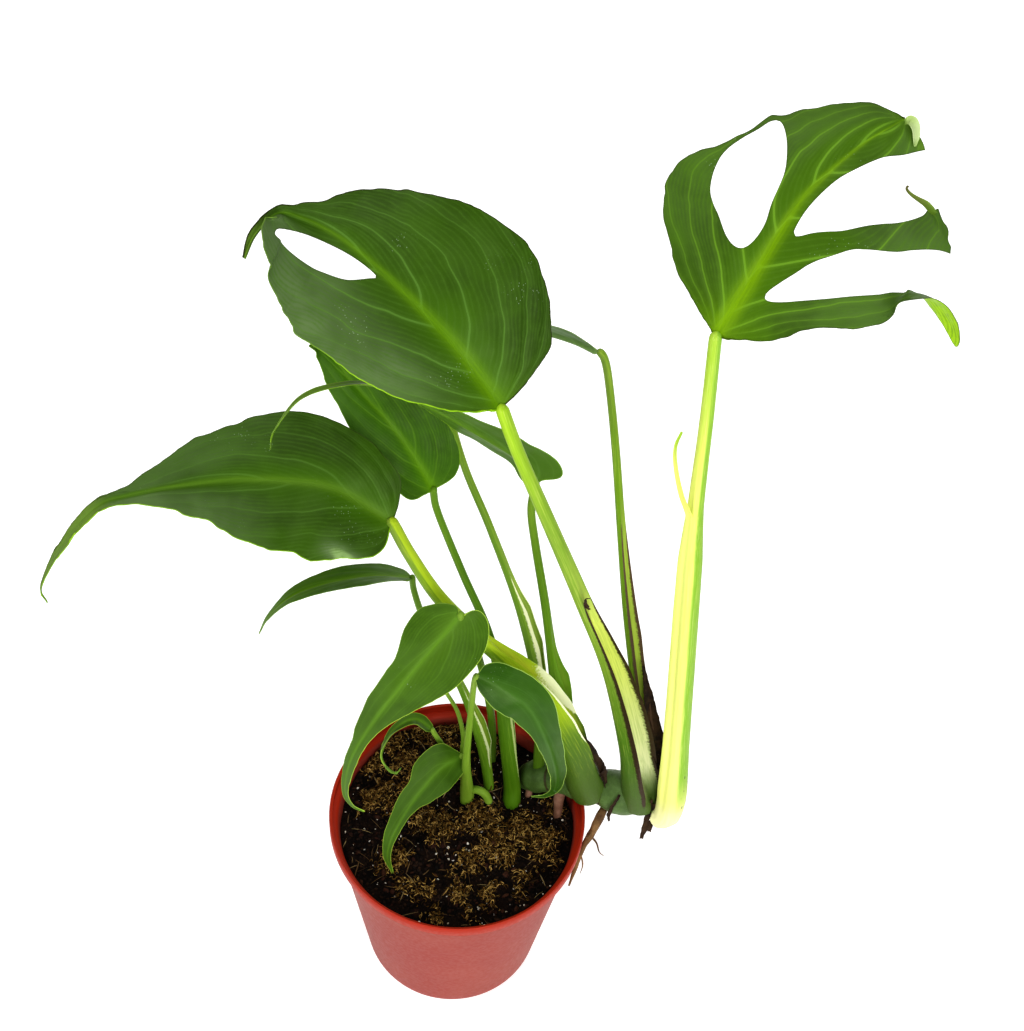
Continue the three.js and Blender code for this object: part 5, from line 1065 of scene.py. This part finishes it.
# Narrow strips: place + across * half * t + out * curl * half * t^2, crinkled by noise; t runs from -1 to 1 across
def stripBody(spec, shape):
    rib = ribOf(spec["rib"], spec["face"])
    rows, cols = shape["rows"], shape["cols"]
    k, t = np.linspace(0, 1, rows)[:, None], np.linspace(-1, 1, cols)[None, :]
    place, along, out, across = (v[:, None, :] for v in ribAt(rib, (k * rib["length"])[:, 0]))
    half = spread(spec["width"], k)
    points = place + across * (half * t)[..., None] + out * (shape["curl"] * half * t * t)[..., None]
    lift, slip = shape["crinkle"] * noise(points, 3.5, 31), 0.5 * shape["crinkle"] * noise(points, 2.0, 32)
    points = (points + out * lift[..., None] + across * slip[..., None]).reshape(-1, 3)
    points, faces, side = closeSheet(points, trisOf(gridFaces(rows, cols)), shape["depth"])
    nil = 0 * k * t
    values = {"along": k + nil, "secX": half * t, "secY": nil, "length": k * rib["length"] + nil, "inner": nil,
              "flap": nil, "side": nil}
    return points, faces, {n: np.concatenate([v.ravel(), v.ravel()]) for n, v in values.items()}


tipShape = {"depth": 0.4, "rows": 60, "cols": 9, "curl": 0.25, "crinkle": 0.0}
points, faces, values = stripBody(sheathTip, tipShape)
skin = stalkSkin("sheath_tip", stalkPaints["f"])
makePiece("sheath_tip", points, faces, [skin], (), values)
for n, (spec, paint) in enumerate(zip(leafEnds, ("tail", "scrap")), 1):
    points, faces, values = stripBody(spec, {**tipShape, "depth": 0.3})
    skin = stalkSkin(f"leaf_end_{n}", stalkPaints[paint])
    makePiece(f"leaf_end_{n}", points, faces, [skin], (), values)

# Dried brown sheets and scraps left on the sheaths and nodes
huskShape = {"depth": 0.3, "rows": 50, "cols": 11, "curl": 0.6, "crinkle": 0.9}
husks = [
    {"rib": [[97, 36, 258], [104, 27, 230], [111, 20, 205], [117, 15, 188], [119, 11, 172]],
     "face": [[0.4, -0.8, 0.4], [0.5, -0.8, 0.3]], "width": [0.6, 2.8, 4.2, 5, 3.4]},
    {"rib": [[56, 18, 231], [63, 17, 217], [70, 16, 204], [78, 14, 190], [84, 12, 174], [86, 11, 163]],
     "face": [[0.8, -0.3, 0.5]], "width": [0.5, 1.6, 2.4, 3, 2.6, 1]},
    {"rib": [[80, 12, 176], [83, 12, 182], [83.5, 12, 188]], "face": [[0.5, -0.7, 0.4]], "width": [1.2, 0.8, 0.2]},
    {"rib": [[62, 27, 318], [59.5, 24, 326], [59, 22, 333], [61, 21, 336]], "face": [[0.4, -0.8, 0.3]],
     "width": [0.4, 0.9, 0.6, 0.15]},
    {"rib": [[113, 5, 168], [112, 1, 156], [111, -3, 147], [110, -6, 140]], "face": [[0, -0.8, 0.5]], "width": [0.6,
     1.3, 1.6, 0.8]},
    {"rib": [[115, 4, 164], [115, 1, 152], [114, -3, 144]], "face": [[0.2, -0.8, 0.5]], "width": [0.5, 1.5, 0.9]},
    {"rib": [[94, 6, 168], [91, 2, 163], [89, 0, 154], [90, 0, 147]], "face": [[0, -0.8, 0.6], [0, -0.9, 0.3]],
     "width": [0.4, 0.9, 0.8, 0.3]},
]
for n, spec in enumerate(husks, 1):
    points, faces, values = stripBody(spec, huskShape)
    makePiece(f"husk_{n}", points, faces, [barks["dry"]], (), values)
print("stem, roots and husks made")


potShape = {
    "sides": 144, "wall": 1.6, "drainHoles": 8, "drainRadius": 4.5, "drainRing": 42,
    "profile": [[0, 0], [53.5, 0], [55.2, 0.35], [55.7, 1.6], [72.5, 135.4], [73.1, 136], [75.2, 136.4],
        [76, 137.4], [76, 144], [75.4, 145]],
    "coneFoot": 55.5, "coneGrow": 17, "coneHigh": 133.9,  # the wall between the floor and the lip
}


# profile (r, z) turned about the axis as one sheet, holes trimmed from its floor, then given a wall
def potBody(shape):
    profile, sides = np.array(shape["profile"], float), shape["sides"]
    floorR = np.linspace(0, profile[1, 0], 16)[1:]
    fine = [np.stack([floorR, 0 * floorR], 1)]
    for a, b in zip(profile[1:-1], profile[2:]):
        steps = max(1, int(np.hypot(*(b - a)) / 6))
        fine.append(a + (b - a) * (np.arange(1, steps + 1) / steps)[:, None])
    rz = np.vstack(fine)
    turn = np.linspace(0, 2 * np.pi, sides, endpoint=False)
    x, y = rz[:, :1] * np.cos(turn), rz[:, :1] * np.sin(turn)
    points = np.stack([x, y, rz[:, 1:] + 0 * x], -1).reshape(-1, 3)
    points = np.vstack([points, [[0, 0, 0]]])
    a = np.arange(sides)
    fan = np.stack([(a + 1) % sides, a, 0 * a + len(points) - 1], 1)
    tris = np.vstack([trisOf(gridFaces(len(rz), sides, closed=True)), fan])
    lap = np.linspace(0, 2 * np.pi, 36, endpoint=False)
    hole = shape["drainRadius"] * np.stack([np.cos(lap), np.sin(lap)], 1)
    angles = (np.arange(shape["drainHoles"]) + 0.5) / shape["drainHoles"] * 2 * np.pi
    holes = [shape["drainRing"] * np.array([np.cos(t), np.sin(t)]) + hole for t in angles]
    points, tris = trimSheet(points, tris, holes, 0.2)
    return closeSheet(points, tris, shape["wall"])


def potSkin():
    s = Shader("terracotta_plastic")
    where = s.place()
    height = s.add("ShaderNodeSeparateXYZ", {0: where}, out=2)
    broad, fine = s.cloud(14, 3, 0.5, where), s.cloud(420, 3, 0.5, where)
    base = s.blend(s.step(broad, 0.35, 0.65), "#93362a", "#984032")
    base = s.blend(s.step(height, 0.1345, 0.1368), base, "#a82c12")  # clearer red on the lip
    s.set(Base_Color=base, Roughness=s.step(fine, 0.3, 0.7, 0.46, 0.56), IOR=1.49, Specular_IOR_Level=0.2)
    s.set(Normal=s.bump(fine, 0.12, 0.0003))
    return s.material


points, faces, side = potBody(potShape)
makePiece("nursery_pot", points, faces, [potSkin()], ("pot",))
print("pot made")


soilShape = {
    "top": 131, "foot": 1.9, "gap": 0.3, "across": 150, "around": 320, "rimLevel": 127, "dish": 0.0007,
    "mound": {"x": -30, "y": 54, "wide": 28, "deep": 20, "high": 5.5},
    "lumps": [(1.6, 7, 21), (0.8, 2.4, 22), (0.35, 0.9, 23)],  # height, size and seed
    "moss": 1.8,
}
mossPatches = [  # x, y, reach and strength on the soil's top
    (14, 3, 15, 1), (27, -15, 13, 1), (39, -2, 13, 1), (53, -10, 12, 1), (-8, -5, 13, 1), (9, -24, 10, 0.8),
    (60, 16, 9, 0.8), (-44, 52, 14, 1), (-28, 61, 12, 1), (-56, 36, 10, 0.9), (-47, 12, 12, 1), (-30, 19, 12, 1),
    (-9, 44, 13, 1), (-10, 64, 9, 0.9), (-34, -26, 11, 0.8), (-15, -47, 9, 0.7), (20, 58, 9, 0.6),
    (42, -34, 9, 0.6), (-20, 0, 11, 0.9), (-36, 38, 11, 1), (4, -44, 10, 0.85), (22, -47, 9, 0.8),
    (-8, -60, 7, 0.7), (40, -42, 8, 0.7), (14, -60, 7, 0.6), (-26, -44, 8, 0.6),
]


def wallRadius(z):  # the pot's inner wall, less the gap: it widens evenly with height
    rise = (z - potShape["wall"]) / potShape["coneHigh"]
    return potShape["coneFoot"] + potShape["coneGrow"] * rise - potShape["wall"] - soilShape["gap"]


def level(x, y):
    return np.stack([x, y, 0 * x], -1)


def mossShare(x, y):  # from 0 to 1: the strongest patch, exp(-d^2 / reach^2), broken up by noise
    share = 0 * x
    for px, py, reach, strength in mossPatches:
        share = np.maximum(share, strength * np.exp(-((x - px) ** 2 + (y - py) ** 2) / reach**2))
    broken = noise(level(x, y), 5, 24) + 0.6 * noise(level(x, y), 2, 25)
    return np.clip(1.5 * share + 0.35 * broken - 0.35, 0, 1)


# top + two sine waves - dish * r^2 + a bell for the mound + three sizes of noise + the moss's thickness
def soilHeight(x, y):
    waves = 1.6 * np.sin(x / 9 + 0.6) * np.cos(y / 11) + 1.1 * np.sin(x / 4.7 - y / 5.3 + 1.2)
    lumps = sum(high * noise(level(x, y), size, seed) for high, size, seed in soilShape["lumps"])
    m = soilShape["mound"]
    mound = m["high"] * np.exp(-((x - m["x"]) / m["wide"]) ** 2 - ((y - m["y"]) / m["deep"]) ** 2)
    dish = soilShape["dish"] * (x * x + y * y)
    return soilShape["top"] + waves - dish + mound + lumps + soilShape["moss"] * mossShare(x, y)


def soilBody():  # rings of the top, the side and the floor, each ring a row of one closed grid with a pole at each end
    turn = np.linspace(0, 2 * np.pi, soilShape["around"], endpoint=False)
    flat = (np.linspace(0, 1, soilShape["across"]) * wallRadius(soilShape["rimLevel"]))[1:, None]
    x, y = flat * np.cos(turn), flat * np.sin(turn)
    rows, foot = [np.stack([x, y, soilHeight(x, y)], -1)], soilShape["foot"]
    for share in (0.75, 0.5, 0.25, 0.0):
        z = foot + (rows[0][-1, :, 2] - foot) * share
        rows.append(np.stack([wallRadius(z) * np.cos(turn), wallRadius(z) * np.sin(turn), z], -1)[None])
    grid = np.concatenate(rows)
    count, sides = grid.shape[:2]
    middle = float(soilHeight(np.zeros(1), np.zeros(1))[0])
    points = np.vstack([grid.reshape(-1, 3), [[0, 0, middle], [0, 0, foot]]])
    return points, np.vstack([trisOf(gridFaces(count, sides, closed=True)[:, ::-1]), capFaces(count, sides)])


def soilSkin():
    s = Shader("potting_mix")
    where = s.place()
    clod, crumb, grain = s.cloud(120, 4, 0.6, where), s.cloud(520, 5, 0.7, where), s.cloud(2200, 3, 0.6, where)
    base = s.blend(s.step(clod, 0.35, 0.68), "#0c0705", "#21150e")
    base = s.blend(s.step(crumb, 0.52, 0.75, 0, 0.8), base, "#3a2515")
    base = s.blend(s.step(grain, 0.68, 0.78, 0, 0.4), base, "#6a4c30")
    moss = s.times(s.read("moss"), s.step(crumb, 0.35, 0.6, 0.2, 0.9))
    base = s.blend(s.times(moss, 0.6), base, "#241705")
    s.set(Base_Color=base, Roughness=0.95, Specular_IOR_Level=0.15)
    s.set(Normal=s.bump(s.math("ADD", crumb, s.times(grain, 0.5)), 0.9, 0.0015))
    return s.material


def bitSkin(name, colours, rough):  # each bit takes its own tone between the three colours
    s = Shader(name)
    tone, spot = s.read("tone"), s.cloud(900, 3, 0.6)
    base = s.blend(s.step(tone, 0.0, 0.5), colours[0], colours[1])
    base = s.blend(s.step(tone, 0.5, 1.0), base, colours[2])
    base = s.blend(s.step(spot, 0.35, 0.7, 0.35, 0), base, colours[0])
    s.set(Base_Color=base, Roughness=rough, Specular_IOR_Level=0.2)
    s.set(Normal=s.bump(spot, 0.4, 0.0003))
    return s.material


# What lies on the mix. chance is a + b * the moss's share of the place; size, length, thick and rise are drawn
# evenly between two values
bits = {
    "moss_strands": {
        "count": 6100, "seeds": (41, 42), "chance": (0, 1), "lift": 0.4, "length": (1.8, 5.2), "thick": (0.15, 0.34),
        "bend": 4.6, "rise": (0.0, 0.75), "skin": "moss", "colours": ("#1c1206", "#75541c", "#e8c070"), "rough": 0.9,
    },
    "soil_crumbs": {
        "count": 2400, "seeds": (51, 71), "chance": (1, -0.6), "lift": 0, "size": (0.5, 1.4), "flat": 0.7,
        "skin": "crumbs", "colours": ("#0c0705", "#22150d", "#3a2414"), "rough": 0.85,
    },
    "soil_chips": {
        "count": 260, "seeds": (52, 72), "chance": (1, -0.6), "lift": 0, "size": (1.2, 2.8), "flat": 0.35,
        "skin": "chips", "colours": ("#180c08", "#33190f", "#4a2c1c"), "rough": 0.85,
    },
    "soil_perlite": {
        "count": 240, "seeds": (53, 73), "chance": (1, -0.6), "lift": 0, "size": (0.25, 1.1), "flat": 0.6,
        "skin": "perlite", "colours": ("#b4a894", "#dcd4c4", "#f4f0e6"), "rough": 0.85,
    },
    "soil_straws": {
        "count": 150, "seeds": (54, 55), "chance": (1, 0), "lift": 0.5, "length": (5, 15), "thick": (0.2, 0.45),
        "bend": 0.5, "rise": (0.0, 0.12), "skin": "straw", "colours": ("#2c1c10", "#6a5030", "#a08c60"), "rough": 0.8,
    },
}


def scatterPlaces(spec):  # even over the mix's top, r = R sqrt(share), kept by chance; twelve tries for each bit
    random, tries = np.random.default_rng(spec["seeds"][0]), 12 * spec["count"]
    reach = wallRadius(soilShape["rimLevel"]) - 1.2
    r, a = reach * np.sqrt(random.uniform(0, 1, tries)), random.uniform(0, 2 * np.pi, tries)
    x, y = r * np.cos(a), r * np.sin(a)
    keep = random.uniform(0, 1, tries) < spec["chance"][0] + spec["chance"][1] * mossShare(x, y)
    x, y = x[keep][:spec["count"]], y[keep][:spec["count"]]
    return np.stack([x, y, soilHeight(x, y)], -1) + [0, 0, spec["lift"]]


# Grains: a small globe of 6 x 3 points and two poles, each point pushed in or out, stretched on three axes and turned
def grainBody(places, spec):
    random, count, size = np.random.default_rng(spec["seeds"][1]), len(places), 20
    up, turn = np.radians([45, 90, 135])[:, None], np.linspace(0, 2 * np.pi, 6, endpoint=False)[None, :]
    ball = np.stack([np.sin(up) * np.cos(turn), np.sin(up) * np.sin(turn), np.cos(up) + 0 * turn], -1)
    ball = np.vstack([ball.reshape(-1, 3), [[0, 0, 1], [0, 0, -1]]])
    tris = np.vstack([trisOf(gridFaces(3, 6, closed=True)[:, ::-1]), capFaces(3, 6)])
    scale = random.uniform(*spec["size"], (count, 1)) * np.array([[1, 0.8, spec["flat"]]])
    scale = scale * random.uniform(0.7, 1.3, (count, 3))
    body = ball[None] * random.uniform(0.72, 1.25, (count, size, 1)) * scale[:, None, :]
    frames = np.linalg.qr(random.normal(size=(count, 3, 3)))[0]
    frames = frames * np.sign(np.linalg.det(frames))[:, None, None]
    points = np.einsum("nij,nkj->nki", frames, body) + places[:, None, :]
    tone = np.repeat(random.uniform(0, 1, count), size)
    return points.reshape(-1, 3), copiesOf(tris, count, size), {"tone": tone}


# Strands: the heading turns steadily with s, the height is an arch, and three sides close to a point at both ends
def strandBody(places, spec, stations=6):
    random, count, size = np.random.default_rng(spec["seeds"][1]), len(places), 3 * stations
    s = np.linspace(0, 1, stations)[None, :]
    heading = random.uniform(0, 2 * np.pi, (count, 1)) + random.normal(0, spec["bend"], (count, 1)) * s
    reach = random.uniform(*spec["length"], (count, 1))
    x, y = (np.cumsum(f(heading) * (reach / (stations - 1)), 1) for f in (np.cos, np.sin))
    z = random.uniform(*spec["rise"], (count, 1)) * reach * np.sin(np.pi * s * random.uniform(0.5, 1.0, (count, 1)))
    z = z + random.uniform(-0.15, 0.15, (count, 1)) * reach * s
    path = np.stack([x, y, z], -1)
    path = path - path.mean(1, keepdims=True) * [1, 1, 0] + places[:, None, :]
    path[..., 2] = np.maximum(path[..., 2], soilHeight(path[..., 0], path[..., 1]) - 0.3)
    along = unit(np.gradient(path, axis=1))
    across = unit(np.cross(along, [0.02, 0.05, 1.0]))
    lift = np.cross(across, along)
    radius = random.uniform(*spec["thick"], (count, 1)) * np.sqrt(np.clip(1 - (2 * s - 1) ** 2, 0.0, 1)) + 0.02
    turn = np.linspace(0, 2 * np.pi, 3, endpoint=False)
    ring = across[:, :, None] * np.cos(turn)[:, None] + lift[:, :, None] * np.sin(turn)[:, None]
    points = (path[:, :, None] + ring * radius[:, :, None, None]).reshape(-1, 3)
    last = size - 3
    one = np.vstack([trisOf(gridFaces(stations, 3, closed=True)), [[0, 2, 1], [last, last + 1, last + 2]]])
    tone = np.repeat(random.uniform(0, 1, count), size)
    return points, facesOut(points, copiesOf(one, count, size), one), {"tone": tone}


points, faces = soilBody()
moss = {"moss": mossShare(points[:, 0], points[:, 1])}
makePiece("potting_soil", points, faces, [soilSkin()], ("soil",), moss, crease=0)
for name, spec in bits.items():
    shape = strandBody if "length" in spec else grainBody
    points, faces, values = shape(scatterPlaces(spec), spec)
    skin = bitSkin(spec["skin"], spec["colours"], spec["rough"])
    makePiece(name, points, faces, [skin], (), values, crease=0)
print("soil made")


lightSetup = {
    "world": 0.12,
    "softboxes": [
        {"place": (-0.35, -0.2, 1.9), "aim": (0, 0.05, 0.3), "size": 1.2, "power": 12},
        {"place": (0.7, -1.9, 1.1), "aim": (0, 0, 0.25), "size": 1.3, "power": 26},
        {"place": (-1.6, -0.9, 0.9), "aim": (0, 0, 0.25), "size": 1.0, "power": 9},
        {"place": (0.5, 1.5, 0.9), "aim": (0, 0, 0.3), "size": 1.0, "power": 7},
        {"place": (1.25, -0.85, 1.45), "aim": (-0.05, 0, 0.35), "size": 0.4, "power": 4},
    ],
}


def makeLights(setup):
    world = bpy.data.worlds.new("studio")
    world.use_nodes = True
    world.node_tree.nodes["Background"].inputs[0].default_value = (1, 1, 1, 1)
    world.node_tree.nodes["Background"].inputs[1].default_value = setup["world"]
    bpy.context.scene.world = world
    for n, box in enumerate(setup["softboxes"]):
        data = bpy.data.lights.new(f"softbox_{n + 1}", "AREA")
        data.energy, data.size = box["power"], box["size"]
        lamp = bpy.data.objects.new(f"softbox_{n + 1}", data)
        bpy.context.scene.collection.objects.link(lamp)
        lamp.location = box["place"]
        lamp.rotation_euler = (Vector(box["aim"]) - Vector(box["place"])).to_track_quat("-Z", "Y").to_euler()


def makeFloor():
    mesh = bpy.data.meshes.new("floor")
    half, under = 4.0, -0.0003
    mesh.from_pydata([(-half, -half, under), (half, -half, under), (half, half, under), (-half, half, under)], [],
                     [(0, 1, 2, 3)])
    s = Shader("floor")
    s.set(Base_Color=(0.9, 0.9, 0.9, 1), Roughness=0.9, Emission_Color=(1, 1, 1, 1), Emission_Strength=0.45)
    mesh.materials.append(s.material)
    floor = bpy.data.objects.new("floor", mesh)
    bpy.context.scene.collection.objects.link(floor)


makeLights(lightSetup)
makeFloor()
bpy.context.scene.view_settings.view_transform = "Standard"
bpy.context.scene.view_settings.look = "Medium High Contrast"

print("pieces:", pieceCount)
